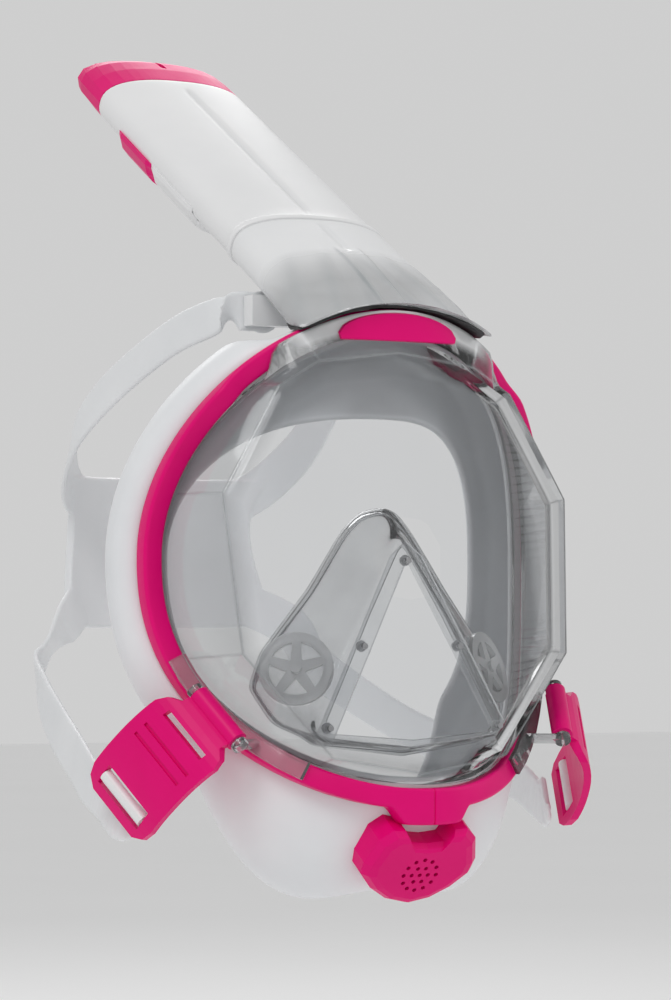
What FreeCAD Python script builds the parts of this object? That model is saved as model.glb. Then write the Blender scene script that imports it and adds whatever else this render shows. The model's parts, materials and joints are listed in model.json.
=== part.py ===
"""Full face snorkel mask: a clear lens in a clamp frame, a silicone skirt, a nose pocket with one-way
valves, a chin purge valve, a head harness on two swivel buckles and a plug-in dry-top snorkel.

Frame of the part: millimetres, +Z up, -Y forward (where the wearer looks), origin at the centre of the
opening that the wearer's face goes into.  The mask is mirror symmetric about the plane X = 0.

The skirt, frame, gaskets and nose pocket run round the face.  Each is a closed loft through sections that
lie in half planes about the Y axis, and all of them are offsets of one rim curve (function rim).
"""
import FreeCAD, Part
import math
import os

V = FreeCAD.Vector
os.makedirs("parts", exist_ok=True)
doc = FreeCAD.newDocument("mask")

# ---------------------------------------------------------------- driving dimensions
SIZES = {
    # rim curve that the lens, frame and skirt follow
    "rim_half_width": 92.0, "rim_top": 97.0, "rim_bottom": 96.0,
    "wrap_top": 38.0, "wrap_bottom": 63.0, "bottom_square": 2.25,
    # lens
    "lens_wall": 2.4, "pane_depth": 49.4, "pane_lean": 0.118, "pane_crown": 0.0011, "lens_inset": 9.4,
    # frame ring
    "frame_width": 8.0, "frame_depth": 8.0, "brow_cover": 4.2, "tab_wide": 36.0, "tab_narrow": 21.0,
    "tab_drop": 6.0,
    # skirt
    "skirt_wall": 2.8, "skirt_back": 27.0, "skirt_bulge": 4.5, "chin_bulge": 33.0, "chin_cleft": 6.0,
    # snorkel, along its own axis from the neck's root
    "neck_y": -12.0, "neck_z": 101.0, "tube_lean": 59.0,
    "tube_half_width": 35.0, "tube_half_depth": 13.0, "tube_wall": 2.0,
    "joint_at": 50.0, "cap_at": 192.0, "cap_height": 29.0,
    "spigot_length": 20.0, "spigot_inset": 2.4,
    "cover_low": 90.0, "cover_mid": 133.0, "cover_high": 168.0, "cover_proud": 4.5,
    "slot_pitch": 4.6, "slot_width": 2.2,
    "float_low": 118.0, "float_length": 32.0, "float_half_width": 19.0, "float_half_depth": 6.5,
    "float_travel": 9.5, "seal_thick": 2.0, "seat_thick": 3.0, "divider_half_gap": 12.0, "divider_wall": 1.2,
    # one-way valves of the nose pocket
    "pocket_wall": 1.4, "pocket_axis": -50.0,
    "valve_x": 43.0, "valve_y": -35.5, "valve_z": -43.0, "valve_tilt": 18.0, "valve_turn": 35.0,
    "valve_radius": 14.5, "valve_hole_radius": 10.5, "valve_hub_radius": 2.2, "valve_thick": 1.8,
    "membrane_radius": 12.0, "membrane_thick": 0.8, "stem_bore": 1.3, "stem_bore_length": 4.0,
    "pin_radius": 1.2, "pin_length": 3.3, "pin_head_radius": 2.2, "pin_head_thick": 0.7,
    # purge valve and its cover in the chin
    "purge_y": -48.9, "purge_z": -115.3, "purge_tilt": 124.6, "purge_radius": 10.0, "purge_drop": 2.6,
    "cover_width": 50.0, "cover_height": 34.0, "cover_wall": 2.0, "cover_depth": 9.0,
    "grille_hole": 0.9, "grille_pitch": 3.6,
    # buckles
    "hinge_x": 77.0, "hinge_y": -35.5, "hinge_z": -61.0, "hinge_bar_radius": 2.0, "running_gap": 0.05,
    "buckle_length": 57.5, "buckle_width": 38.0, "buckle_thick": 3.0, "buckle_skew": 0.115,
    "hook_radius": 4.2,
    "hook_length": 25.0, "roller_at": 48.5, "roller_radius": 2.6, "roller_length": 25.0,
    "journal_radius": 1.2, "journal_length": 30.6,
    # harness
    "strap_width": 18.0, "strap_thick": 2.2,
}
sheet = doc.addObject("Spreadsheet::Sheet", "Sizes")
for row, (alias, value) in enumerate(SIZES.items(), start=1):
    sheet.set(f"A{row}", alias)
    sheet.set(f"B{row}", str(value))
    sheet.setAlias(f"B{row}", alias)
doc.recompute()


def size(alias):
    """A driving dimension, read back from the sheet."""
    return float(getattr(sheet, alias))


subparts = []


def keep(obj, label):
    """Marks a finished object as a sub-part: its Label names its file."""
    obj.Label = label
    subparts.append(obj)
    return obj


def feature(label, shape, placement=None):
    """A sub-part whose shape is set directly, placed after its shape."""
    obj = doc.addObject("Part::Feature", label)
    obj.Shape = shape.Solids[0] if len(shape.Solids) == 1 else shape
    if placement is not None:
        obj.Placement = placement
    return keep(obj, label)


def rod(name, radius, height, start, axis):
    """A cylinder whose radius and height are bound to the sheet, from a start point along an axis."""
    obj = doc.addObject("Part::Cylinder", name)
    obj.setExpression("Radius", "Sizes." + radius)
    obj.setExpression("Height", "Sizes." + height)
    obj.Placement = FreeCAD.Placement(start, FreeCAD.Rotation(V(0, 0, 1), axis))
    return obj


def joined(kind, label, base, tool):
    """A sub-part made from two bound objects: kind is Fuse or Cut."""
    obj = doc.addObject("Part::" + kind, label)
    obj.Base = base
    obj.Tool = tool
    return keep(obj, label)


# ---------------------------------------------------------------- the rim and sections about the Y axis
def rim(angle):
    """Radius and Y of the rim at a polar angle about the Y axis (90 degrees is up)."""
    c, s = math.cos(angle), math.sin(angle)
    half = size("rim_half_width")
    power, height = (2.0, size("rim_top")) if s > 0 else (size("bottom_square"), size("rim_bottom"))
    radius = (abs(c / half) ** power + abs(s / height) ** power) ** (-1 / power)
    low, high = -size("rim_bottom"), size("rim_top")
    share = (radius * s - low) / (high - low)
    wrap = size("wrap_bottom") + (size("wrap_top") - size("wrap_bottom")) * share
    return radius, -wrap * (1 - (radius * c / half) ** 2)


def polar(angle, radius, y):
    return V(radius * math.cos(angle), y, radius * math.sin(angle))


def smooth(t):
    t = min(1.0, max(0.0, t))
    return t * t * (3 - 2 * t)


def loop_loft(profile, count=36, first=0.0, last=None):
    """A solid through closed sections. profile(angle) lists (radius, y) points in that half plane.
    Without last the loft closes on itself; with last it runs from angle first to angle last, in degrees."""
    closed = last is None
    steps = count if closed else count - 1
    span = 360.0 if closed else last - first
    wires = []
    for k in range(count):
        angle = math.radians(first + span * k / steps)
        points = [polar(angle, r, y) for r, y in profile(angle)]
        wires.append(Part.makePolygon(points + points[:1]))
    return Part.makeLoft(wires, True, True, closed)


def off_rim(offsets):
    """A profile function from one that lists (outward, backward) offsets from the rim."""
    def profile(angle):
        radius, y = rim(angle)
        return [(radius + dr, y + dy) for dr, dy in offsets(angle)]
    return profile


def band(path, thick):
    """A closed profile of a wall: the (a, b) path, and the same path moved to its left by thick."""
    shifted = []
    for k, (a, b) in enumerate(path):
        a0, b0 = path[max(k - 1, 0)]
        a1, b1 = path[min(k + 1, len(path) - 1)]
        length = math.hypot(a1 - a0, b1 - b0)
        shifted.append((a - (b1 - b0) / length * thick, b + (a1 - a0) / length * thick))
    return list(path) + shifted[::-1]


def low_share(angle):
    """1 under the chin, 0 beyond it, by the angle from straight down."""
    from_down = abs((math.degrees(angle) - 270 + 180) % 360 - 180)
    return 1 - smooth((from_down - 13) / 32)


def top_share(angle):
    """1 over the forehead, where the neck stands, and 0 from the horns of the skirt on."""
    from_up = abs((math.degrees(angle) - 90 + 180) % 360 - 180)
    return 1 - smooth((from_up - 26) / 9)


def brow_share(angle, first=30.0):
    """1 where the clear brow of the lens stands in front of the frame, and 0 beside it."""
    from_up = abs((math.degrees(angle) - 90 + 180) % 360 - 180)
    return 1 - smooth((from_up - first) / 8)


# ---------------------------------------------------------------- mask: frame, skirt and lens
def frame_ring():
    width, depth = size("frame_width"), size("frame_depth")
    ease = 1.2


    def profile(angle):
        front = -depth / 2 + size("brow_cover") * brow_share(angle, 40.0)
        return [(-width, front + ease), (-width + ease, front), (-ease, front), (0, front + ease),
                (0, depth / 2),
                (-width, depth / 2)]

    ring = loop_loft(off_rim(profile), 72)
    base_z = -size("rim_bottom") + 2
    wide, narrow, drop = size("tab_wide") / 2, size("tab_narrow") / 2, size("tab_drop")
    front = rim(math.radians(270))[1] - depth / 2
    outline = [V(-wide, front, base_z), V(wide, front, base_z), V(narrow, front, base_z - 2 - drop),
               V(-narrow, front, base_z - 2 - drop)]
    tab = Part.Face(Part.makePolygon(outline + outline[:1])).extrude(V(0, depth - 1, 0))
    return ring.fuse(tab).removeSplitter()


feature("lens_frame", frame_ring())


def skirt_path(angle):
    """Centre path of the skirt's wall from the rim, as (outward, backward): lip, side wall, roll, face lip."""
    radius, y = rim(angle)
    chin, top = low_share(angle), top_share(angle)
    side = abs(math.cos(angle))
    depth = size("skirt_back") - (31 if math.sin(angle) > 0 else 15) * (1 - side ** 2) - y
    cleft = size("chin_cleft") * chin * math.exp(-(radius * math.cos(angle) / 17) ** 2)
    bulge = size("skirt_bulge") + size("chin_bulge") * chin - 7.5 * top - cleft
    back = -3 + 24 * chin - 6 * top
    lip_in = -22 + 26 * chin - 20 * max(0.0, math.sin(angle)) ** 3
    lip_depth = depth - 7 - 14 * max(0.0, math.sin(angle)) ** 2
    seat = size("frame_depth") / 2 + 0.3
    return [(-12.0, seat + 1.4), (-1.5 - 2 * top, seat + 1.4), (bulge * 0.62, seat + 0.16 * depth),
            (bulge, 0.48 * depth), (0.8 * bulge + 0.2 * back, 0.78 * depth), (back, depth - 1),
            (back - 6, depth + 0.5), (0.45 * back + 0.55 * lip_in - 3, 0.5 * (depth + lip_depth)),
            (lip_in, lip_depth)]


def skirt_profile(angle):
    half = size("skirt_wall") / 2
    path = skirt_path(angle)
    shape = band(path, half)
    outer, inner = shape[len(path):][::-1], band(path, -half)[len(path):][::-1]
    return outer + inner[::-1]


skirt = loop_loft(off_rim(skirt_profile), 72)


def skirt_keepout():
    """The skirt's wall grown by the clearance that neighbours leave."""
    def grown(angle):
        path, half = skirt_path(angle), size("skirt_wall") / 2 + 0.4
        outer = band(path, half)[len(path):][::-1]
        return outer + band(path, -half)[len(path):]
    return loop_loft(off_rim(grown), 72)


# Corners of the front pane, one side: (half width, height)
PANE_CORNERS = [(0, 80), (35, 75.5), (52.5, 65.5), (77.5, 24), (73, -37), (39, -76.5), (0, -83)]


def pane_y(x, z):
    return -size("pane_depth") + size("pane_lean") * z + size("pane_crown") * x * x


def pane_radius(angle, grow=0.0):
    """Distance from the Y axis to the pane's outline along a polar angle."""
    c, s = abs(math.cos(angle)), math.sin(angle)
    for (x0, z0), (x1, z1) in zip(PANE_CORNERS, PANE_CORNERS[1:]):
        across = c * (z1 - z0) - s * (x1 - x0)
        if abs(across) < 1e-9:
            continue
        t = (s * x0 - c * z0) / across
        reach = (x0 + t * (x1 - x0)) * c + (z0 + t * (z1 - z0)) * s
        if -1e-9 <= t <= 1 + 1e-9 and reach > 0:
            return reach + grow
    raise ValueError("no crossing")


def lens_shell():
    """The clear lens: a curved front pane, and sides that slope back to the rim, as one faceted shell."""
    corner_angles = [math.atan2(z, x) for x, z in PANE_CORNERS]
    angles = set(corner_angles) | {math.pi - a for a in corner_angles} | {math.pi * k / 20 for k in range(40)}
    angles = sorted({round(a % (2 * math.pi), 6) for a in angles})
    inset, wall = size("lens_inset"), size("lens_wall")

    def rows(angle):
        """Points from the outer centre over the crease and rim to the inner centre."""
        radius, y = rim(angle)
        crease, found = pane_radius(angle), []
        for share in (1 / 3, 2 / 3, 1.0):
            p = polar(angle, crease * share, 0)
            found.append(V(p.x, pane_y(p.x, p.z), p.z))
        brow = brow_share(angle)
        edge = radius - inset + (inset - 0.8) * brow
        found.append(polar(angle, edge, y - 2.0 - 0.6 * brow))
        found.append(polar(angle, edge, y - 2.0 + 1.9 * brow))
        found.append(polar(angle, radius - inset, y - 2.0 + 1.9 * brow))
        found.append(polar(angle, radius - inset, y + 3.1))
        found.append(polar(angle, radius - inset - wall, y + 3.1))
        for share in (1.0, 2 / 3, 1 / 3):
            p = polar(angle, (crease - wall * 0.8) * share, 0)
            found.append(V(p.x, pane_y(p.x, p.z) + wall, p.z))
        return found

    grid = [rows(a) for a in angles]
    tips = V(0, pane_y(0, 0), 0), V(0, pane_y(0, 0) + wall, 0)
    faces = []

    def triangle(a, b, c):
        if (b - a).cross(c - a).Length > 1e-6:
            faces.append(Part.Face(Part.makePolygon([a, b, c, a])))

    for k, row in enumerate(grid):
        following = grid[(k + 1) % len(grid)]
        triangle(tips[0], row[0], following[0])
        triangle(tips[1], following[-1], row[-1])
        for j in range(len(row) - 1):
            triangle(row[j], row[j + 1], following[j + 1])
            triangle(row[j], following[j + 1], following[j])
    shell = Part.makeShell(faces)
    shell.sewShape()
    solid = Part.makeSolid(shell)
    if solid.Volume < 0:
        solid.reverse()
    return solid


feature("lens", lens_shell())


# ---------------------------------------------------------------- small helpers for placed solids
class Place:
    """A local frame: origin, and axes a, b, c that the shape's X, Y, Z turn into."""

    def __init__(self, origin, along, up):
        self.origin = origin
        self.c = V(up).normalize()
        self.a = V(along).sub(self.c * V(along).dot(self.c)).normalize()
        self.b = self.c.cross(self.a)

    def placement(self):
        rotation = FreeCAD.Rotation(self.a, self.b, self.c, "ZXY")
        return FreeCAD.Placement(self.origin, rotation)

    def at(self, a, b, c):
        return self.origin + self.a * a + self.b * b + self.c * c


def placed(shape, where):
    copy = shape.copy()
    copy.Placement = where.placement()
    return copy


def mirrored(shape):
    return shape.mirror(V(0, 0, 0), V(1, 0, 0))


def both_sides(name, left_shape):
    """A left sub-part (at -X) and its mirror image on the right."""
    feature(name + "_left", left_shape)
    feature(name + "_right", mirrored(left_shape))


def smooth_path(points, steps=4):
    """A Catmull-Rom curve through the points."""
    found = []
    for k in range(len(points) - 1):
        p0, p1 = points[max(k - 1, 0)], points[k]
        p2, p3 = points[k + 1], points[min(k + 2, len(points) - 1)]
        for j in range(steps):
            t = j / steps
            a = p1 * 2
            b = (p2 - p0) * t
            c = (p0 * 2 - p1 * 5 + p2 * 4 - p3) * t ** 2
            d = (p1 * 3 - p0 - p2 * 3 + p3) * t ** 3
            found.append((a + b + c + d) * 0.5)
    return found + [points[-1]]


def cylinder(radius, length, start, axis):
    return Part.makeCylinder(radius, length, start, axis)


def block(a0, a1, b0, b1, c0, c1):
    return Part.makeBox(a1 - a0, b1 - b0, c1 - c0, V(a0, b0, c0))


def prism(points, height, base=0.0):
    """A solid from an outline in the local XY plane."""
    outline = [V(x, y, base) for x, y in points]
    return Part.Face(Part.makePolygon(outline + outline[:1])).extrude(V(0, 0, height))


# ---------------------------------------------------------------- snorkel: sections along its axis
LEAN = math.radians(size("tube_lean"))
AXIS = V(0, math.sin(LEAN), math.cos(LEAN))
CROWN = V(0, -math.cos(LEAN), math.sin(LEAN))
ROOT = V(0, size("neck_y"), size("neck_z"))


def oval(half_width, half_depth, power=2.5, count=48, dent=0.0):
    """An oval outline of (x, crown) points, with a shallow groove along the middle of its crown."""
    points = []
    for k in range(count):
        angle = 2 * math.pi * k / count
        c, s = math.cos(angle), math.sin(angle)
        radius = (abs(c / half_width) ** power + abs(s / half_depth) ** power) ** (-1 / power)
        x, y = radius * c, radius * s
        if y > 0:
            y -= dent * math.exp(-(x / 2.2) ** 2)
        points.append((x, y))
    return points


def snorkel_wire(k, grow=0.0, dent=0.0):
    points = oval(size("tube_half_width") + grow, size("tube_half_depth") + grow, dent=dent)
    found = [ROOT + AXIS * k + V(x, 0, 0) + CROWN * y for x, y in points]
    return Part.makePolygon(found + found[:1])


def run(stations, dent=0.0):
    """A solid along the snorkel through (distance, growth) stations."""
    return Part.makeLoft([snorkel_wire(k, grow, dent) for k, grow in stations], True, True)


def across(x0, x1, low, high, k0, k1):
    """A block in the snorkel's own directions: x, crown, and distance along the axis."""
    return placed(block(x0, x1, -high, -low, k0, k1), SNORKEL)


# its local Y points away from the crown
SNORKEL = Place(ROOT, V(1, 0, 0), AXIS)

joint, cap = size("joint_at"), size("cap_at")
inset, tube_wall = size("spigot_inset"), size("tube_wall")
spigot_low = joint - size("spigot_length")
bore = -inset - 2.4
seal_at = spigot_low + 5.0

# the snorkel tube, its spigot and the rim that stops it on the neck
tube = run([(joint + 0.3, 0), (cap - 0.3, 0)], dent=0.9)
tube = tube.fuse(run([(joint + 0.3, 1.0), (joint + 3.3, 1.0)]))
tube = tube.fuse(run([(spigot_low, -inset), (joint + 4, -inset)]))
tube = tube.cut(run([(spigot_low - 1, bore), (joint + 4, bore), (joint + 8, -tube_wall),
                     (cap + 1, -tube_wall)]))
groove_ring = run([(seal_at, 1), (seal_at + 2.2, 1)])
groove_ring = groove_ring.cut(run([(seal_at - 1, -inset - 1.2), (seal_at + 4, -inset - 1.2)]))
tube = tube.cut(groove_ring)
vent = across(-24, 24, -20, -size("tube_half_depth") + 4, size("cover_low") + 6, size("cover_mid") - 4)
tube = tube.cut(vent)
feature("snorkel_tube", tube)

feature("tube_seal", run([(seal_at + 0.1, -inset + 0.15), (seal_at + 2.1, -inset + 0.15)]).cut(
    run([(seal_at - 1, -inset - 1.15), (seal_at + 4, -inset - 1.15)])))

# two walls that part the middle breathing-in channel from the side channels
gap, plate = size("divider_half_gap"), size("divider_wall")
walls = across(-gap - plate, -gap, -30, 30, joint + 9, size("float_low") - 6)
walls = walls.fuse(across(gap, gap + plate, -30, 30, joint + 9, size("float_low") - 6))
walls = walls.fuse(across(-gap - plate, gap + plate, -1.2, 0, joint + 9, joint + 15))
channel_room = run([(joint + 8.5, -tube_wall - 0.3), (cap, -tube_wall - 0.3)], dent=0.9)
walls = walls.common(channel_room)
walls = walls.cut(across(-40, 40, -20, -size("tube_half_depth") + 5, size("cover_low") + 3,
                         size("cover_mid")))
feature("channel_divider", walls)

# louvred cover on the back of the tube, and the hood above it
def back_skin(k0, k1, proud, ends=4.0):
    """A shell over the back of the tube between two distances, its ends sloping down to the tube."""
    wires = []
    for k, rise in ((k0, 0.4), (k0 + ends, proud), (k1 - ends, proud), (k1, 0.4)):
        points = oval(size("tube_half_width") + 0.3 + 0.15 * rise, size("tube_half_depth") + rise)
        found = [ROOT + AXIS * k + V(x, 0, 0) + CROWN * y for x, y in points]
        wires.append(Part.makePolygon(found + found[:1]))
    inner = run([(k0 - 1, 0.25), (k1 + 1, 0.25)])
    return Part.makeLoft(wires, True, True).cut(inner).common(across(-60, 60, -40, -2.5, k0 - 1, k1 + 1))


low, mid, high = size("cover_low"), size("cover_mid"), size("cover_high")
pitch, slot = size("slot_pitch"), size("slot_width")
cover = back_skin(low, mid - 0.2, size("cover_proud"))
hollow = run([(low + 5, size("cover_proud") - 1.4), (mid - 5, size("cover_proud") - 1.4)])
cover = cover.cut(hollow.common(across(-26, 26, -40, -4, low, mid)))
count = int((mid - low - 14) / pitch)
for row in range(count):
    start = low + 8 + row * pitch
    cover = cover.cut(across(-22, 22, -40, -8, start, start + slot))
feature("vent_cover", cover)
feature("vent_hood", back_skin(mid + 0.2, high, size("cover_proud") + 0.6))

# dry top: a float with a seal that rises to a seat when the top goes under water
float_low, length, travel = size("float_low"), size("float_length"), size("float_travel")
half_w, half_d = size("float_half_width"), size("float_half_depth")


def oval_run(k0, k1, width, depth, power=2.5):
    outline = [ROOT + AXIS * k0 + V(x, 0, 0) + CROWN * y for x, y in oval(width, depth, power, 36)]
    return Part.Face(Part.makePolygon(outline + outline[:1])).extrude(AXIS * (k1 - k0))


body = oval_run(float_low, float_low + length, half_w, half_d)
body = body.cut(oval_run(float_low + 1.6, float_low + length - 1.6, half_w - 1.6, half_d - 1.6))
feature("float", body)
seal_low = float_low + length + 0.05
feature("float_seal", oval_run(seal_low, seal_low + size("seal_thick"), half_w - 2, half_d - 1))
seat_low = seal_low + size("seal_thick") + travel + 0.3
seat = run([(seat_low, -tube_wall - 0.1), (seat_low + size("seat_thick"), -tube_wall - 0.1)], dent=0.9)
seat = seat.cut(oval_run(seat_low - 1, seat_low + 9, half_w - 6, half_d - 3))
rail_low = float_low - 5
for side in (-1, 1):
    edges = sorted((side * (half_w + 0.6), side * (half_w + 2.4)))
    rail = across(edges[0], edges[1], -4, 4, rail_low, seat_low + 1)
    foot_edges = sorted((side * (half_w - 3), side * (half_w + 2.4)))
    seat = seat.fuse(rail).fuse(across(foot_edges[0], foot_edges[1], -4, 4, rail_low, rail_low + 2.5))
feature("float_seat", seat)

# the end cap: a plug inside the tube, a band flush with it and a slotted end
top = cap + size("cap_height")
CAP = [(0, 35.0, 13.0), (12, 34.9, 12.7), (22, 34.7, 11.6), (27, 34.2, 10.0), (29, 32.5, 8.0)]


def oval_wire(k, half_width, half_depth):
    found = [ROOT + AXIS * k + V(x, 0, 0) + CROWN * y for x, y in oval(half_width, half_depth)]
    return Part.makePolygon(found + found[:1])


cap_wires = [oval_wire(cap + rise, half_width, half_depth) for rise, half_width, half_depth in CAP]
shell = Part.makeLoft(cap_wires, True, True)
shell = shell.fuse(run([(cap - 9, -tube_wall - 0.3), (cap + 1, -tube_wall - 0.3)], dent=0.9))
shell = shell.cut(run([(cap - 10, -tube_wall - 2.2), (cap + 8, -tube_wall - 2.2),
                       (top - 3, -tube_wall - 4.2)]))
shell = shell.cut(across(-1.2, 1.2, size("tube_half_depth") - 3.2, 30, cap + 15, top + 1))
for row in range(-5, 6):
    shell = shell.cut(across(row * pitch - slot / 2, row * pitch + slot / 2, -5.5, 5.5, top - 5, top + 1))
feature("top_cap", shell)

# the neck: a socket for the tube that widens down to the top of the mask
NECK = [(-34, 40, 9.5), (-15, 39.5, 11.8), (0, 38, 13.0), (12, 36.4, 13.5)]


def neck_run(grow, straight):
    wires = [oval_wire(k, half_width + grow, half_depth + grow) for k, half_width, half_depth in NECK]
    wires += [snorkel_wire(k, g) for k, g in straight]
    return Part.makeLoft(wires, True, True)


def rim_plug(grow, back=70.0):
    """Everything inside the rim's outline, grown, as a bar along Y."""
    outline = []
    for k in range(72):
        radius, y = rim(2 * math.pi * k / 72)
        outline.append(polar(2 * math.pi * k / 72, radius + grow, -90))
    return Part.Face(Part.makePolygon(outline + outline[:1])).extrude(V(0, 90 + back, 0))


socket = -inset + 0.3
outer = neck_run(0, [(28, 0.6), (joint, 0.4)])
inner = neck_run(-2.4, [(spigot_low - 3, socket - 2.4), (spigot_low - 2, socket - 2.4)])
neck = outer.cut(inner).cut(run([(spigot_low - 2.1, socket), (joint + 1, socket)]))
neck = neck.cut(rim_plug(1.6))
feature("neck", neck)

base = neck_run(0.9, [(28, 1.5), (30, 1.5)]).cut(neck_run(-5.0, [(28, -5.0), (32, -5.0)]))
gasket = base.common(rim_plug(1.4).cut(rim_plug(0.3)))
feature("neck_gasket", max(gasket.Solids, key=lambda solid: solid.Volume))

# ---------------------------------------------------------------- inside the mask: pocket and valves
INNER_LOOP = [(0, 6), (16, -22), (38, -64), (38, -67), (0, -70)]
OUTER_LOOP = [(0, 19.5), (8, 17.5), (15, 10), (30, -12), (50, -37), (56, -50), (50, -64), (36, -72), (0, -76)]


def reach_of(loop, angle, centre_z):
    """Distance from (0, centre_z) to a mirrored outline of (x, z) corners."""
    c, s = abs(math.cos(angle)), math.sin(angle)
    for (x0, z0), (x1, z1) in zip(loop, loop[1:]):
        z0, z1 = z0 - centre_z, z1 - centre_z
        crossing = c * (z1 - z0) - s * (x1 - x0)
        if abs(crossing) < 1e-9:
            continue
        t = (s * x0 - c * z0) / crossing
        reach = (x0 + t * (x1 - x0)) * c + (z0 + t * (z1 - z0)) * s
        if -1e-9 <= t <= 1 + 1e-9 and reach > 0:
            return reach
    raise ValueError("no crossing")


def pocket_section(angle):
    centre_z = size("pocket_axis")
    near, far = reach_of(INNER_LOOP, angle, centre_z), reach_of(OUTER_LOOP, angle, centre_z)
    c, s = math.cos(angle), math.sin(angle)
    front = pane_y(near * c, centre_z + near * s) + size("lens_wall") + 4.3
    rise = 0.68 * (far - near) * abs(c) + 0.5 * (far - near) * max(0.0, s) + 4
    path = [(near, front), (near + 4, front + 1.0), ((near + far) / 2, front + 0.5 * rise),
            (far - 1, front + rise),
            (far, front + rise + 5)]
    wall = size("pocket_wall") / 2
    shape = band(path, wall)[len(path):][::-1] + band(path, -wall)[len(path):]
    return [V(r * c, y, centre_z + r * s) for r, y in shape]


wires = []
for k in range(72):
    points = pocket_section(2 * math.pi * k / 72)
    wires.append(Part.makePolygon(points + points[:1]))
pocket = Part.makeLoft(wires, True, True, True)

turn, tilt = math.radians(size("valve_turn")), math.radians(size("valve_tilt"))
VALVE_OUT = V(-math.sin(turn) * math.cos(tilt), -math.cos(turn) * math.cos(tilt), math.sin(tilt))
VALVE = Place(V(-size("valve_x"), size("valve_y"), size("valve_z")), V(0, 0, 1), VALVE_OUT)
hole = placed(Part.makeCylinder(size("valve_radius") - 0.3, 30, V(0, 0, -15)), VALVE)
pocket = pocket.cut(hole).cut(mirrored(hole))


def five_spoke(radius, thick, hole_radius, hub):
    """A round seat pierced by five sector windows."""
    seat = Part.makeCylinder(radius, thick)
    for k in range(5):
        first, span = math.radians(72 * k + 9), math.radians(54)
        outline = []
        for j in range(7):
            angle = first + span * j / 6
            outline.append((hole_radius * math.cos(angle), hole_radius * math.sin(angle)))
        middle = first + span / 2
        outline.append(((hub + 1.6) * math.cos(middle), (hub + 1.6) * math.sin(middle)))
        seat = seat.cut(prism(outline, thick + 2, -1))
    return seat


thick, hub = size("valve_thick"), size("valve_hub_radius")
seat = five_spoke(size("valve_radius"), thick, size("valve_hole_radius"), hub)
seat = seat.fuse(Part.makeCylinder(hub, 1.4, V(0, 0, thick)))
flange = Part.makeCylinder(size("valve_radius") + 1.6, 1.2, V(0, 0, thick - 0.1))
flange = flange.cut(Part.makeCylinder(size("valve_radius") - 2.2, 3, V(0, 0, thick - 1)))
stem = Part.makeCylinder(1.0, 4.2, V(0, 0, -4.2)).fuse(Part.makeCylinder(2.0, 0.8, V(0, 0, -4.9)))
both_sides("inhale_seat", placed(seat.fuse(stem), VALVE))
for side, name in ((1, "left"), (-1, "right")):
    inward = V(-VALVE.c.x * side, -VALVE.c.y, -VALVE.c.z)
    seat_face = V(VALVE.origin.x * side, VALVE.origin.y, VALVE.origin.z)
    disc = rod(name + "_disc", "membrane_radius", "membrane_thick", seat_face + inward * 0.05, inward)
    centre_hole = rod(name + "_disc_bore", "stem_bore", "stem_bore_length", seat_face - inward, inward)
    joined("Cut", "inhale_membrane_" + name, disc, centre_hole)
feature("nose_pocket", pocket)


def follow_pane(points, clearance, thick, half_width):
    """A strip behind the pane through (x, z) points."""
    wires = []
    for k, (x, z) in enumerate(points):
        x0, z0 = points[max(k - 1, 0)]
        x1, z1 = points[min(k + 1, len(points) - 1)]
        span = math.hypot(x1 - x0, z1 - z0)
        wx, wz = -(z1 - z0) / span * half_width, (x1 - x0) / span * half_width
        ring = []
        for side, depth in ((1, 0), (1, thick), (-1, thick), (-1, 0)):
            px, pz = x + side * wx, z + side * wz
            ring.append(V(px, pane_y(px, pz) + size("lens_wall") + clearance + depth, pz))
        wires.append(Part.makePolygon(ring + ring[:1]))
    return Part.makeLoft(wires, True, True)


clip_line = [(-40.5, -69), (-38.5, -66), (-21.5, -34), (-4, -1), (0, 3), (4, -1), (21.5, -34),
             (38.5, -66), (40.5, -69)]
clip = follow_pane(clip_line, 0.65, 1.3, 3.4)
PIN_SPOTS = {"middle": (0, -1.0), "left_upper": (-21.5, -34), "right_upper": (21.5, -34),
             "left_lower": (-38, -65),
             "right_lower": (38, -65)}
lens = doc.getObjectsByLabel("lens")[0]
BACK = V(0, 1, 0)
for spot, (x, z) in PIN_SPOTS.items():
    start = V(x, pane_y(x, z) + size("lens_wall") - 0.6, z)
    clip = clip.cut(cylinder(size("pin_radius") + 0.05, 10, start - BACK, BACK))
    lens.Shape = lens.Shape.cut(cylinder(size("pin_radius") + 0.02, 1.6, start - BACK * 0.2, BACK))
    shank = rod(spot + "_shank", "pin_radius", "pin_length", start, BACK)
    head = rod(spot + "_head", "pin_head_radius", "pin_head_thick", start + BACK * 2.9, BACK)
    joined("Fuse", "clip_pin_" + spot, shank, head)
feature("pocket_clip", clip)

# ---------------------------------------------------------------- chin: purge valve and its cover
tilt = math.radians(size("purge_tilt"))
PURGE_OUT = V(0, -math.sin(tilt), math.cos(tilt))
PURGE = Place(V(0, size("purge_y"), size("purge_z")), V(1, 0, 0), PURGE_OUT)
radius = size("purge_radius")
PURGE_VALVE = Place(PURGE.at(0, -size("purge_drop"), 0), V(1, 0, 0), PURGE_OUT)
skirt = skirt.cut(placed(Part.makeCylinder(radius - 0.3, 34, V(0, 0, -22)), PURGE_VALVE))
port = prism(oval(20.0, 8.0, 2.0, 40), 40, 70)
port.translate(V(0, -17, 0))
skirt = skirt.cut(port)
feature("skirt", skirt)

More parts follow.
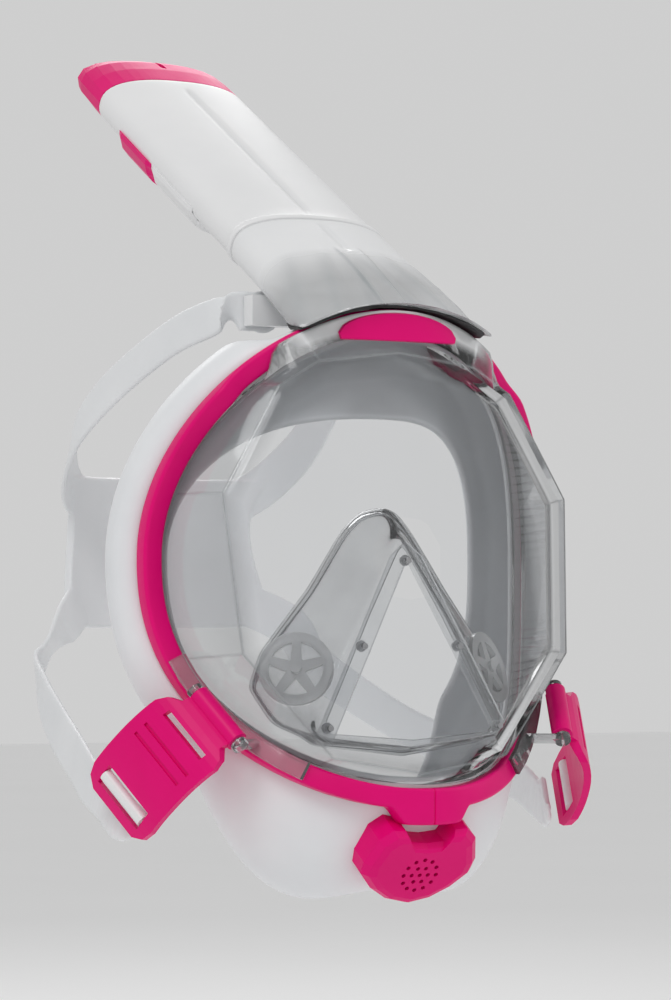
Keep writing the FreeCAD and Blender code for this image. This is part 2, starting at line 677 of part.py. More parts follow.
seat = five_spoke(radius, 2.4, radius - 2.2, 2.0)
stem = Part.makeCylinder(1.0, 6.0).fuse(Part.makeCylinder(1.9, 0.7, V(0, 0, 5.7)))
lip = Part.makeCylinder(radius + 1.4, 1.0, V(0, 0, 2.3)).cut(Part.makeCylinder(radius - 1.6, 3, V(0, 0, 2)))
feature("purge_seat", placed(seat.fuse(stem).fuse(lip), PURGE_VALVE))
flap = rod("purge_disc", "membrane_radius", "membrane_thick", PURGE_VALVE.at(0, 0, 3.35), PURGE_OUT)
flap.setExpression("Radius", "Sizes.purge_radius - 0.4")
flap_bore = rod("purge_disc_bore", "stem_bore", "stem_bore_length", PURGE_VALVE.at(0, 0, 2.0), PURGE_OUT)
joined("Cut", "purge_membrane", flap, flap_bore)

wide, tall = size("cover_width") / 2, size("cover_height")
OUTLINE = [(0, 0.34), (0.3, 0.36), (0.44, 0.52), (0.66, 0.53), (0.86, 0.4), (1.0, 0.1), (0.98, -0.06),
           (0.72, -0.27), (0.38, -0.43), (0.0, -0.5)]


def cover_outline(scale=1.0, shrink=0.0):
    right = [(x * (wide - shrink) * scale, y * (tall - 2 * shrink) * scale) for x, y in OUTLINE]
    return right + [(-x, y) for x, y in right[-2:0:-1]]


def cover_layers(shrink, bottom, top_at):
    """A dished solid through outlines that shrink toward its face."""
    wires = []
    for scale, height in ((1.0, bottom), (1.0, top_at - 3.2), (0.9, top_at - 0.8), (0.78, top_at)):
        outline = [V(x, y, height) for x, y in cover_outline(scale, shrink)]
        wires.append(Part.makePolygon(outline + outline[:1]))
    return Part.makeLoft(wires, True, True)


depth, wall = size("cover_depth"), size("cover_wall")
pitch = size("grille_pitch")
holes = []
for ring, number in ((0, 1), (1, 6), (2, 12)):
    for k in range(number):
        angle = 2 * math.pi * k / number
        x, y = ring * pitch * math.cos(angle), -1.5 + ring * pitch * math.sin(angle)
        holes.append(Part.makeCylinder(size("grille_hole"), 8, V(x, y, depth - 4)))
cover_shape = placed(cover_layers(0, -10, depth).cut(cover_layers(wall, -12, depth - wall)).cut(holes), PURGE)
cover_shape = cover_shape.cut(skirt_keepout()).cut(rim_plug(0.9, 60))
feature("purge_cover", max(cover_shape.Solids, key=lambda solid: solid.Volume))

# ---------------------------------------------------------------- buckles on the ears of the frame
HINGE_AT = V(-size("hinge_x"), size("hinge_y"), size("hinge_z"))
hinge_line, plate_line = V(0.30, -0.66, -0.69), V(-0.396, 0.572, -0.719)
HINGE_C = hinge_line.cross(plate_line)
if HINGE_C.x > 0:
    HINGE_C = HINGE_C * -1
# local X along the hinge line, local Z outward, local Y = Z x X
HINGE = Place(HINGE_AT, hinge_line, HINGE_C)
toward = 1 if HINGE.b.dot(plate_line) > 0 else -1
bar = size("hinge_bar_radius")


def along_plate(shape):
    """A shape drawn with local +Y toward the strap, placed at the hinge."""
    if toward < 0:
        shape = shape.mirror(V(0, 0, 0), V(0, 1, 0))
    return placed_again(shape)


def placed_again(shape):
    copy = shape.copy()
    copy.Placement = HINGE.placement().multiply(copy.Placement)
    return copy


# Side view of a buckle's plate: (distance toward the strap, height off the hinge)
ARCH_POINTS = [(0, 0), (6, 5.6), (14, 8.8), (25, 9.4), (38, 7.4), (48, 4.3), (57.5, 0)]
PLATE_ARCH = [(p.y, p.z) for p in smooth_path([V(0, y, z) for y, z in ARCH_POINTS], 3)]


def arch_height(y):
    """Height of the plate's middle at a distance toward the strap."""
    for (y0, z0), (y1, z1) in zip(PLATE_ARCH, PLATE_ARCH[1:]):
        if y <= y1:
            return z0 + (z1 - z0) * (y - y0) / (y1 - y0)
    return PLATE_ARCH[-1][1]


def skewed(points):
    """Outline points shifted along the hinge line, by how far they are toward the strap."""
    return [(x - size("buckle_skew") * y, y) for x, y in points]


def window(half, y0, y1, low=-30.0, high=40.0):
    return prism(skewed([(-half, y0), (half, y0), (half, y1), (-half, y1)]), high - low, low)


width, thick, end = size("buckle_width"), size("buckle_thick"), size("buckle_length")
arch = PLATE_ARCH[1:]
side_view = band(arch, thick / 2)[len(arch):][::-1] + band(arch, -thick / 2)[len(arch):]
outline = [V(-width / 2 - 8, y, z) for y, z in side_view]
plate = Part.Face(Part.makePolygon(outline + outline[:1])).extrude(V(width + 16, 0, 0))
half, hook = width / 2, size("hook_length") / 2
rounding = [(-hook, 0), (hook, 0), (hook, 4.5), (half - 2, 7), (half, 11), (half, end - 9),
            (half - 1.5, end - 3.5),
            (half - 6, end), (6 - half, end), (1.5 - half, end - 3.5), (-half, end - 9), (-half, 11),
            (2 - half, 7), (-hook, 4.5)]
plate = plate.common(prism(skewed(rounding), 70, -30))
reach = size("hook_length") / 2
plate = plate.fuse(cylinder(size("hook_radius"), 2 * reach, V(-reach, 0, 0), V(1, 0, 0)))
plate = plate.cut(window(12, 9.5, 12.5))
for y in (19.0, 24.5):
    plate = plate.cut(window(14, y, y + 1.6, arch_height(y) + 0.6))
roller_y = size("roller_at")
roller_z = arch_height(roller_y)
roller_x = -size("buckle_skew") * roller_y
plate = plate.cut(window(13, roller_y - 5.0, roller_y + 4.6))
plate = plate.cut(cylinder(bar + size("running_gap"), 60, V(-30, 0, 0), V(1, 0, 0)))
plate = plate.cut(block(-30, 30, -1.7, 1.7, -9, -0.5))
journal_room = cylinder(size("journal_radius") + size("running_gap"), 31,
                        V(roller_x - 15.5, roller_y, roller_z), V(1, 0, 0))
both_sides("buckle", along_plate(plate.cut(journal_room)))
for side, name in ((1, "left"), (-1, "right")):
    spin = V(HINGE.a.x * side, HINGE.a.y, HINGE.a.z)
    middle = HINGE.at(roller_x, toward * roller_y, roller_z)
    middle.x = middle.x * side
    barrel_end = middle - spin * (size("roller_length") / 2)
    journal_end = middle - spin * (size("journal_length") / 2)
    barrel = rod(name + "_barrel", "roller_radius", "roller_length", barrel_end, spin)
    journal = rod(name + "_journal", "journal_radius", "journal_length", journal_end, spin)
    joined("Fuse", "buckle_roller_" + name, barrel, journal)

# clear ears in front of the frame that carry the hinge bars
front = -size("frame_depth") / 2 - 0.05
ear_profile = [(-7.6, front - 2.4), (-0.6, front - 2.4), (-0.6, front), (-7.6, front)]
ear = loop_loft(off_rim(lambda angle: ear_profile), 8, 205, 240)
for side in (-1, 1):
    x = side * (reach + 1.9)
    tip = placed_again(cylinder(3.2, 2.4, V(x - 1.2, 0, 0), V(1, 0, 0)))
    root_angle = math.radians(213.0 if side * 1 < 0 else 229.0)
    radius_here, y_here = rim(root_angle)
    foot = polar(root_angle, radius_here - 4, y_here + front - 1.9)
    hub_at = HINGE.at(x, 0, 0)
    line = hub_at.sub(foot)
    arm_place = Place(foot, HINGE.a, line)
    arm = placed(block(-1.2, 1.2, -1.6, 1.6, -0.5, line.Length), arm_place)
    ear = ear.fuse(arm).fuse(tip)
ear = ear.fuse(placed_again(cylinder(bar, 2 * reach + 4, V(-reach - 2, 0, 0), V(1, 0, 0))))
both_sides("ear", ear)

# ---------------------------------------------------------------- badge on the lens's clear brow
def badge_profile(angle):
    """A section of the badge: it stands on the brow, with a level bottom edge and an arched top."""
    radius, y = rim(angle)
    crease = pane_radius(angle)
    p = polar(angle, crease, 0)
    low_y, edge_y, edge = pane_y(p.x, p.z), y - 2.6, radius - 0.8
    bottom = 84.0 / math.sin(angle)
    across_share = min(1.0, abs(bottom * math.cos(angle)) / 26.0)
    top_edge = bottom + 1.0 + 10.2 * math.sqrt(1 - across_share ** 2)

    def surface(r):
        return low_y + (edge_y - low_y) * (r - crease) / (edge - crease)

    return [(bottom, surface(bottom) - 0.35), (top_edge, surface(top_edge) - 0.35),
            (top_edge - 0.5, surface(top_edge) - 1.7), (bottom + 0.4, surface(bottom) - 1.7)]


feature("badge", loop_loft(badge_profile, 21, 73.1, 106.9))


# ---------------------------------------------------------------- head harness: pad, four arms, top anchor
HEAD = (V(0, 70, 10), 85.0, 107.0, 112.0)


def head_normal(p):
    centre, a, b, c = HEAD
    q = p.sub(centre)
    return V(q.x / a ** 2, q.y / b ** 2, q.z / c ** 2).normalize()


def arm(points, widths, first_normal, turned_by=0.5):
    """A strap arm along the points. Its face turns from first_normal to the side, then to the head."""
    path = smooth_path(points)
    wires, gone = [], 0.0
    half_thick = size("strap_thick") / 2
    for k, p in enumerate(path):
        if k:
            gone += p.distanceToPoint(path[k - 1])
        tangent = path[min(k + 1, len(path) - 1)].sub(path[max(k - 1, 0)]).normalize()
        share = k / (len(path) - 1)
        on_side, at_back = smooth(gone / 25), smooth((share - turned_by) / (0.95 - turned_by))
        normal = first_normal * (1 - on_side) + V(-1, 0, 0.12) * on_side
        normal = normal * (1 - at_back) + head_normal(p) * at_back
        normal = normal.sub(tangent * normal.dot(tangent)).normalize()
        side = tangent.cross(normal)
        half = (widths[0] + (widths[1] - widths[0]) * share) / 2
        corners = [p + side * half + normal * half_thick, p - side * half + normal * half_thick,
                   p - side * half - normal * half_thick, p + side * half - normal * half_thick]
        wires.append(Part.makePolygon(corners + corners[:1]))
    solid = Part.makeLoft(wires, True, True)
    if solid.Volume < 0:
        solid.reverse()
    return solid


def on_head(x, z, rise):
    """The point of the head's back at (x, z), lifted by rise."""
    centre, a, b, c = HEAD
    y = centre.y + b * math.sqrt(max(0.0, 1 - (x / a) ** 2 - ((z - centre.z) / c) ** 2))
    p = V(x, y, z)
    return p + head_normal(p) * rise


def pad():
    """The thicker centre plate, waisted, that follows the back of the head."""
    rows = [(38, 49), (28, 45), (17, 44), (6, 45), (-6, 47), (-16, 49), (-27, 52)]
    wires = []
    for z, half in rows:
        ring = []
        for rise, order in ((1.9, range(9)), (-1.9, range(8, -1, -1))):
            for j in order:
                ring.append(on_head(-half + half * j / 4, z, rise))
        wires.append(ring)
    faces = []

    def quad(a, b, c, d):
        faces.append(Part.Face(Part.makePolygon([a, b, c, a])))
        faces.append(Part.Face(Part.makePolygon([a, c, d, a])))

    size_ring = len(wires[0])
    for one, two in zip(wires, wires[1:]):
        for j in range(size_ring):
            n = (j + 1) % size_ring
            quad(one[j], one[n], two[n], two[j])
    for ring in (wires[0], wires[-1]):
        for j in range(8):
            quad(ring[j], ring[j + 1], ring[size_ring - 2 - j], ring[size_ring - 1 - j])
    shell = Part.makeShell(faces)
    shell.sewShape()
    solid = Part.makeSolid(shell)
    if solid.Volume < 0:
        solid.reverse()
    return solid


width = size("strap_width")
stud_x, stud_y, stud_z = 27.0, 19.4, 99.0
stud_radius, head_radius, eye_rise = 3.0, 4.6, 0.32
upper_path = [V(-stud_x - 3.9, stud_y + 1.57, stud_z), V(-38, 22.8, 99), V(-42.5, 34, 97), V(-46, 58, 92)]
upper_path += [V(-50, 84, 82), V(-54, 108, 70), V(-56, 128, 57), V(-53, 143, 45)]
upper_path += [on_head(-45, 33, 0), on_head(-31, 24, 0)]
upper = arm(upper_path, (width - 2, width + 1), V(0, 1, 0))
eye_base = V(-stud_x, stud_y + eye_rise, stud_z)
eye = cylinder(width / 2 - 0.7, size("strap_thick") + 0.5, eye_base, V(0, 1, 0))
strap_y = 50.0
tip = HINGE.at(-size("buckle_skew") * strap_y, toward * strap_y, -5.6)
lower_path = [tip, tip + plate_line * 9 - HINGE.c * 0.8, V(-97, 22, -92), V(-95, 38, -87), V(-89, 62, -79)]
lower_path += [V(-82, 92, -69), V(-75, 122, -56), V(-67, 144, -43)]
lower_path += [on_head(-54, -26, 0), on_head(-37, -15, 0)]
lower = arm(lower_path, (width, width + 1), HINGE.c)
harness = pad()
upper = upper.fuse(eye)
for shape in (upper, mirrored(upper), lower, mirrored(lower)):
    harness = harness.fuse(shape)
hole = cylinder(stud_radius + 0.4, 12, V(-stud_x, stud_y - 4, stud_z), V(0, 1, 0))
harness = harness.cut(hole).cut(mirrored(hole))
feature("harness", harness)

anchor = Part.makeBox(72, 7, 12, V(-36, stud_y - 7, 93))
anchor = anchor.cut(neck_run(0.2, [(28, 0.9), (joint, 0.7)]))
anchor = max(anchor.Solids, key=lambda solid: solid.Volume)
for side in (-1, 1):
    stud = cylinder(stud_radius, 4.4, V(side * stud_x, stud_y - 0.5, stud_z), V(0, 1, 0))
    head = cylinder(head_radius, 1.6, V(side * stud_x, stud_y + 3.4, stud_z), V(0, 1, 0))
    anchor = anchor.fuse(stud).fuse(head)
feature("strap_anchor", anchor)

# ---------------------------------------------------------------- checks, then one STEP file per sub-part
doc.recompute()
for obj in doc.Objects:
    if "Invalid" in obj.State or "Error" in obj.State:
        raise ValueError(obj.Label + " did not compute")
for obj in subparts:
    shape = obj.Shape
    if shape.isNull() or not shape.isValid() or len(shape.Solids) != 1:
        raise ValueError(f"{obj.Label} is not one valid solid: {len(shape.Solids)}")
    print(obj.Label, len(shape.Solids), round(shape.Volume / 1000, 2))
    shape.exportStep(f"parts/{obj.Label}.step")
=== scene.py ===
import json
import math

import bpy
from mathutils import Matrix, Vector


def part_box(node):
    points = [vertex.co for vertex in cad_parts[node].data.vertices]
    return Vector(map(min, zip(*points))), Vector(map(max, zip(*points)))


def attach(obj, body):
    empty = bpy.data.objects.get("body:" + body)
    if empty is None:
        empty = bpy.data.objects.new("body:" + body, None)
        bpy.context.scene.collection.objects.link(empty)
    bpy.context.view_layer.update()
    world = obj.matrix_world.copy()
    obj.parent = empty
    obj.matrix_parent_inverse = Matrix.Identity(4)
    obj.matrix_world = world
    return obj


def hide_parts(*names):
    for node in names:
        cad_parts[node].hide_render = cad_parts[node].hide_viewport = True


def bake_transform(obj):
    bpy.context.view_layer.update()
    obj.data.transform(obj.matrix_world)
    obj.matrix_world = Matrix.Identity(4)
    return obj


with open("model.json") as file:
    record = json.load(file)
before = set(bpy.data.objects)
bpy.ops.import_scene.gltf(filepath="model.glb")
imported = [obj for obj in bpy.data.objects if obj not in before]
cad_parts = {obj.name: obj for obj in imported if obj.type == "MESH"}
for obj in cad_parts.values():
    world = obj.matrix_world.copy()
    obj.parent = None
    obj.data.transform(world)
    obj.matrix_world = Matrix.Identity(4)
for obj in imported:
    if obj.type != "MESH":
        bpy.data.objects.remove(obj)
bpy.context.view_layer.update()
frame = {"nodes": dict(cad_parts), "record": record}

# Looks for the full face snorkel mask. Sizes in this file are in millimetres and become metres when a
# mesh is made.  +Z up, -Y the way the wearer looks, the origin at the centre of the face opening.
MM = 0.001


def corner(node, high):
    """The lowest or highest corner of a CAD piece, in millimetres."""
    return Vector(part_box(node)[1 if high else 0]) / MM


# ---------------------------------------------------------------- camera
CAMERA_TARGET = Vector((0.0, 0.009, 0.024))
CAMERA_TURN, CAMERA_RISE, CAMERA_AWAY = math.radians(-30.0), math.radians(-2.0), 1.4
camera_data = bpy.data.cameras.new("camera")
camera_data.lens = 126.0
camera_data.clip_start = 0.01
camera = bpy.data.objects.new("camera", camera_data)
bpy.context.scene.collection.objects.link(camera)
look_flat = math.cos(CAMERA_RISE)
look_side, look_back = -math.sin(CAMERA_TURN) * look_flat, math.cos(CAMERA_TURN) * look_flat
look_along = Vector((look_side, look_back, -math.sin(CAMERA_RISE)))
camera.location = CAMERA_TARGET - look_along * CAMERA_AWAY
camera.rotation_euler = look_along.to_track_quat("-Z", "Y").to_euler()
bpy.context.scene.camera = camera
bpy.context.scene.view_settings.view_transform = "Standard"


# ---------------------------------------------------------------- shader arithmetic
class Paint:
    """A socket of a material, with arithmetic on it."""

    def __init__(self, tree, socket):
        self.tree = tree
        self.socket = socket

    def math(self, operation, other=None, swap=False):
        node = self.tree.nodes.new("ShaderNodeMath")
        node.operation = operation
        pair = (other, self) if swap else (self, other)
        for place, value in enumerate(pair):
            if isinstance(value, Paint):
                self.tree.links.new(value.socket, node.inputs[place])
            elif value is not None:
                node.inputs[place].default_value = value
        return Paint(self.tree, node.outputs[0])

    def __add__(self, other):
        return self.math("ADD", other)

    def __radd__(self, other):
        return self.math("ADD", other)

    def __sub__(self, other):
        return self.math("SUBTRACT", other)

    def __rsub__(self, other):
        return self.math("SUBTRACT", other, True)

    def __mul__(self, other):
        return self.math("MULTIPLY", other)

    def __rmul__(self, other):
        return self.math("MULTIPLY", other)

    def __truediv__(self, other):
        return self.math("DIVIDE", other)

    def __rtruediv__(self, other):
        return self.math("DIVIDE", other, True)

    def __pow__(self, other):
        return self.math("POWER", other)

    def __neg__(self):
        return self.math("MULTIPLY", -1.0)

    def clip(self):
        return self.math("MINIMUM", 1.0).math("MAXIMUM", 0.0)

    def bell(self, centre, width):
        """1 where the value is at the centre, fading to 0 over the width."""
        away = (self - centre) / width
        return (-(away * away)).math("EXPONENT")

    def inside(self, low, high, soft):
        """1 between low and high, with soft edges."""
        return ((self - low) / soft).clip() * ((high - self) / soft).clip()


class Look:
    """A material under construction."""

    def __init__(self, name):
        self.material = bpy.data.materials.new(name)
        self.material.use_nodes = True
        self.tree = self.material.node_tree
        self.tree.nodes.clear()

    def node(self, kind, out=0, settings=None, values=None):
        """Any node: its type, settings by name, and socket values or links by name or place."""
        node = self.tree.nodes.new(kind)
        for key, value in (settings or {}).items():
            setattr(node, key, value)
        for key, value in (values or {}).items():
            if isinstance(value, Paint):
                self.tree.links.new(value.socket, node.inputs[key])
            else:
                node.inputs[key].default_value = value
        return Paint(self.tree, node.outputs[out])

    def place(self):
        """The point on the piece, in the mask's frame, in millimetres: x, y, z."""
        coordinates = self.node("ShaderNodeTexCoord", "Object")
        split = self.tree.nodes.new("ShaderNodeSeparateXYZ")
        self.tree.links.new(coordinates.socket, split.inputs[0])
        return [Paint(self.tree, split.outputs[k]) * (1 / MM) for k in range(3)]

    def noise(self, scale, detail=4.0, roughness=0.55):
        point = self.node("ShaderNodeTexCoord", "Object")
        values = {"Vector": point, "Scale": scale, "Detail": detail, "Roughness": roughness}
        return self.node("ShaderNodeTexNoise", "Factor" if "Factor" in NOISE_OUTS else "Fac", None, values)

    def tint(self, share, first, second):
        """A colour between two colours; either can be a Paint."""
        values = {0: share}
        for place, colour in ((6, first), (7, second)):
            values[place] = colour if isinstance(colour, Paint) else (*colour, 1.0)
        return self.node("ShaderNodeMix", 2, {"data_type": "RGBA"}, values)

    def bump(self, height, strength, distance=0.0003):
        values = {"Strength": strength, "Distance": distance, "Height": height}
        return self.node("ShaderNodeBump", 0, None, values)

    def plastic(self, **sockets):
        values = {name.replace("_", " "): value for name, value in sockets.items()}
        return self.node("ShaderNodeBsdfPrincipled", 0, None, values)

    def blend(self, share, first, second):
        return self.node("ShaderNodeMixShader", 0, None, {0: share, 1: first, 2: second})

    def finish(self, shader):
        output = self.tree.nodes.new("ShaderNodeOutputMaterial")
        self.tree.links.new(shader.socket, output.inputs["Surface"])
        return self.material


probe = bpy.data.materials.new("probe")
probe.use_nodes = True
NOISE_OUTS = [s.name for s in probe.node_tree.nodes.new("ShaderNodeTexNoise").outputs]
bpy.data.materials.remove(probe)


# ---------------------------------------------------------------- materials
GLOW_REACH = (0.01, 0.01, 0.01)


def solid_look(name, light, dark, roughness, grain=900.0, grain_depth=0.06, shine=0.5, subsurface=0.0):
    """A moulded material: cloudy colour between two tones, uneven gloss and a fine grain."""
    look = Look(name)
    cloud = look.noise(22.0)
    wear = look.noise(130.0, 6.0)
    colour = look.tint((cloud * 1.6 - 0.3).clip(), light, dark)
    gloss = roughness + (wear - 0.5) * 0.16
    grain_bump = look.bump(look.noise(grain, 2.0) + cloud * 0.3, grain_depth)
    shader = look.plastic(Base_Color=colour, Roughness=gloss, Normal=grain_bump, Specular_IOR_Level=shine,
                          Subsurface_Weight=subsurface, Subsurface_Radius=GLOW_REACH, Subsurface_Scale=0.3)
    return look.finish(shader)


def clear_look(name, body_light, body_dark, haze, rim, roughness, painted_crease_lines=False):
    """A clear moulding: it shows what is behind it, with painted grey shade at the rims seen edge-on,
    optional painted shade lines along its creases, hazy streaks and a glossy face.
    """
    look = Look(name)
    facing = look.node("ShaderNodeLayerWeight", "Facing", None, {"Blend": 0.4})
    streak = look.noise(35.0, 5.0)
    # Painted shade: the facing term turns the rims seen at a grazing angle grey.
    share = haze + (streak - 0.5) * haze * 0.9 + facing ** 3.0 * rim
    colour = look.tint((streak * 2.0 - 0.5).clip(), body_light, body_dark)
    if painted_crease_lines:
        # Painted shade lines along the creases, read from the mesh's edge attribute.
        line = look.node("ShaderNodeAttribute", "Fac", {"attribute_name": "edge"})
        milk = look.node("ShaderNodeAttribute", "Fac", {"attribute_name": "milk"})
        share = share + line * 0.55 + milk * 0.72
        colour = look.tint(milk, colour, (0.86, 0.87, 0.88))
    ripple = look.bump(look.noise(60.0, 3.0), 0.05)
    body = look.plastic(Base_Color=colour, Roughness=roughness + streak * 0.1, Normal=ripple)
    open_air = look.node("ShaderNodeBsdfTransparent", 0, None, {"Color": (0.99, 0.995, 1.0, 1.0)})
    inner = look.blend(share.clip(), open_air, body)
    mirror = look.node("ShaderNodeBsdfAnisotropic", 0, None, {"Roughness": 0.06, "Normal": ripple})
    fresnel = look.node("ShaderNodeFresnel", 0, None, {"IOR": 1.42})
    return look.finish(look.blend(fresnel, inner, mirror))


PINK, PINK_DEEP = (0.84, 0.0, 0.19), (0.72, 0.0, 0.15)
pink_plastic = solid_look("pink_plastic", PINK, PINK_DEEP, 0.36, 1400.0, 0.04, 0.16)
SKIRT_TONES = (0.83, 0.84, 0.855), (0.75, 0.765, 0.785)
STRAP_TONES = (0.80, 0.81, 0.82), (0.72, 0.735, 0.75)
skirt_silicone = solid_look("skirt_silicone", *SKIRT_TONES, 0.42, 700.0, 0.05, 0.4, 0.15)
strap_silicone = solid_look("strap_silicone", *STRAP_TONES, 0.36, 600.0, 0.08, 0.4, 0.2)
white_plastic = solid_look("white_plastic", (0.84, 0.84, 0.845), (0.78, 0.785, 0.79), 0.36, 1100.0, 0.04)
black_rubber = solid_look("black_rubber", (0.012, 0.012, 0.013), (0.03, 0.03, 0.032), 0.5, 800.0, 0.1)
lens_clear = clear_look("lens_clear", (0.42, 0.44, 0.45), (0.16, 0.17, 0.18), 0.014, 0.32, 0.1, True)
fitting_clear = clear_look("fitting_clear", (0.68, 0.70, 0.71), (0.42, 0.43, 0.44), 0.16, 0.6, 0.12)
pocket_clear = clear_look("pocket_clear", (0.74, 0.75, 0.755), (0.46, 0.47, 0.48), 0.2, 0.6, 0.22)
seat_clear = clear_look("seat_clear", (0.84, 0.845, 0.85), (0.7, 0.71, 0.72), 0.6, 0.3, 0.3)
flap_clear = clear_look("flap_clear", (0.8, 0.8, 0.8), (0.6, 0.6, 0.6), 0.3, 0.4, 0.3)


def steel_look():
    look = Look("pin_steel")
    brush = look.noise(500.0, 3.0)
    colour = look.tint(brush, (0.35, 0.35, 0.36), (0.55, 0.55, 0.56))
    return look.finish(look.plastic(Base_Color=colour, Roughness=0.22 + brush * 0.2, Metallic=1.0))


pin_steel = steel_look()

# ---------------------------------------------------------------- the rim that everything follows
RIM_HALF = corner("lens_frame", True).x
RIM_TOP = corner("lens_frame", True).z
RIM_BOTTOM = RIM_TOP - 1.0
WRAP_TOP, WRAP_BOTTOM, BOTTOM_SQUARE = 38.0, 63.0, 2.25
FRAME_WIDTH, FRAME_DEPTH, BROW_COVER = 8.0, 8.0, 4.2
LENS_WALL, LENS_INSET = 2.4, 9.4
SKIRT_WALL, SKIRT_BACK, SKIRT_BULGE, CHIN_BULGE = 2.8, 27.0, 4.5, 33.0
SKIRT_LESS_UP, SKIRT_LESS_DOWN, CHIN_CLEFT, CLEFT_WIDE = 31.0, 15.0, 6.0, 17.0
DOWN, UP = 270.0, 90.0


def rim(angle):
    """Radius and Y of the rim at a polar angle about the Y axis."""
    c, s = math.cos(angle), math.sin(angle)
    power, height = (2.0, RIM_TOP) if s > 0 else (BOTTOM_SQUARE, RIM_BOTTOM)
    radius = (abs(c / RIM_HALF) ** power + abs(s / height) ** power) ** (-1 / power)
    share = (radius * s + RIM_BOTTOM) / (RIM_TOP + RIM_BOTTOM)
    wrap = WRAP_BOTTOM + (WRAP_TOP - WRAP_BOTTOM) * share
    return radius, -wrap * (1 - (radius * c / RIM_HALF) ** 2)


def polar(angle, radius, y):
    return Vector((radius * math.cos(angle), y, radius * math.sin(angle)))


def smooth(t):
    t = min(1.0, max(0.0, t))
    return t * t * (3 - 2 * t)


def away_from(angle, middle):
    """Degrees between an angle and a direction."""
    return abs((math.degrees(angle) - middle + 180) % 360 - 180)


def chin_share(angle):
    return 1 - smooth((away_from(angle, DOWN) - 13) / 32)


def top_share(angle):
    return 1 - smooth((away_from(angle, UP) - 26) / 9)


def brow_share(angle, first=30.0):
    return 1 - smooth((away_from(angle, UP) - first) / 8)


def turns(count, extra=()):
    """Angles round the Y axis, with extra ones in degrees where the shape needs them."""
    found = {round(360.0 * k / count, 5) for k in range(count)} | {round(a % 360.0, 5) for a in extra}
    return [math.radians(a) for a in sorted(found)]


def curve(points, steps, closed=False):
    """A smooth curve through points of any dimension."""
    points = [Vector(p) for p in points]
    number, found = len(points), []
    for k in range(number if closed else number - 1):
        if closed:
            p0, p1, p2, p3 = (points[(k + j - 1) % number] for j in range(4))
        else:
            p0, p1, p2, p3 = points[max(k - 1, 0)], points[k], points[k + 1], points[min(k + 2, number - 1)]
        for j in range(steps):
            t = j / steps
            bend = (p2 - p0) * t + (p0 * 2 - p1 * 5 + p2 * 4 - p3) * t ** 2
            found.append((p1 * 2 + bend + (p1 * 3 - p0 - p2 * 3 + p3) * t ** 3) * 0.5)
    return found if closed else found + [points[-1]]


def wall_section(path, half):
    """A closed section of a wall of that half thickness along a path, with rounded ends."""
    left, right = [], []
    gone = [0.0]
    for one, two in zip(path, path[1:]):
        gone.append(gone[-1] + (two - one).length)
    for k, p in enumerate(path):
        along = (path[min(k + 1, len(path) - 1)] - path[max(k - 1, 0)]).normalized()
        near_end = min(1.0, (min(gone[k], gone[-1] - gone[k]) + 0.08) / half)
        thick = half * math.sqrt(1 - (1 - near_end) ** 2)
        side = Vector((-along.y, along.x)) * thick
        left.append(p + side)
        right.append(p - side)
    return left + right[::-1]


# ---------------------------------------------------------------- meshes
def place_piece(obj, material, body, nodes=()):
    """Gives a finished object its material and body, and hides the CAD pieces that it stands for."""
    obj.data.materials.clear()
    obj.data.materials.append(material)
    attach(obj, body)
    if nodes:
        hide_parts(*nodes)
    return obj


def make_mesh(name, points, faces, marks=None):
    mesh = bpy.data.meshes.new(name)
    mesh.from_pydata([tuple(p * MM) for p in points], [], faces)
    mesh.validate()
    for mark, values in (marks or {}).items():
        layer = mesh.attributes.new(mark, "FLOAT", "POINT")
        layer.data.foreach_set("value", values)
    obj = bpy.data.objects.new(name, mesh)
    bpy.context.scene.collection.objects.link(obj)
    mesh.polygons.foreach_set("use_smooth", [True] * len(mesh.polygons))
    return obj


def skin(name, rings, around=True, loop=False, caps=False, marks=None):
    """A mesh over rings of points. around closes each ring, loop joins the last ring to the first."""
    size = len(rings[0])
    points = [p for ring in rings for p in ring]
    faces = []
    for k in range(len(rings) if loop else len(rings) - 1):
        here, there = k * size, ((k + 1) % len(rings)) * size
        for j in range(size if around else size - 1):
            n = (j + 1) % size
            faces.append((here + j, here + n, there + n, there + j))
    if caps:
        faces.append(tuple(range(size))[::-1])
        faces.append(tuple(range((len(rings) - 1) * size, len(rings) * size)))
    obj = make_mesh(name, points, faces, marks)
    turn_outward(obj)
    return obj


def turn_outward(obj):
    """Turns all faces of a closed mesh outward."""
    mesh = obj.data
    volume = 0.0
    for polygon in mesh.polygons:
        corners = [mesh.vertices[v].co for v in polygon.vertices]
        for k in range(1, len(corners) - 1):
            volume += corners[0].dot(corners[k].cross(corners[k + 1]))
    if volume < 0:
        mesh.flip_normals()


def off_rim(angle, section):
    radius, y = rim(angle)
    return [polar(angle, radius + p.x, y + p.y) for p in section]


# ---------------------------------------------------------------- skirt
def skirt_path(angle):
    radius, y = rim(angle)
    chin, top = chin_share(angle), top_share(angle)
    side, rise = abs(math.cos(angle)), max(0.0, math.sin(angle))
    less = SKIRT_LESS_UP if math.sin(angle) > 0 else SKIRT_LESS_DOWN
    depth = SKIRT_BACK - less * (1 - side ** 2) - y
    cleft = CHIN_CLEFT * chin * math.exp(-(radius * math.cos(angle) / CLEFT_WIDE) ** 2)
    bulge = SKIRT_BULGE + CHIN_BULGE * chin - 7.5 * top - cleft
    back = -3 + 24 * chin - 6 * top
    lip_in = -22 + 26 * chin - 20 * rise ** 3
    lip_depth = depth - 7 - 14 * rise ** 2
    seat = FRAME_DEPTH / 2 + 0.3
    return [(-12.0, seat + 1.4), (-1.5 - 2 * top, seat + 1.4), (bulge * 0.62, seat + 0.16 * depth),
            (bulge, 0.48 * depth), (0.8 * bulge + 0.2 * back, 0.78 * depth), (back, depth - 1),
            (back - 6, depth + 0.5), (0.45 * back + 0.55 * lip_in - 3, 0.5 * (depth + lip_depth)),
            (lip_in, lip_depth)]


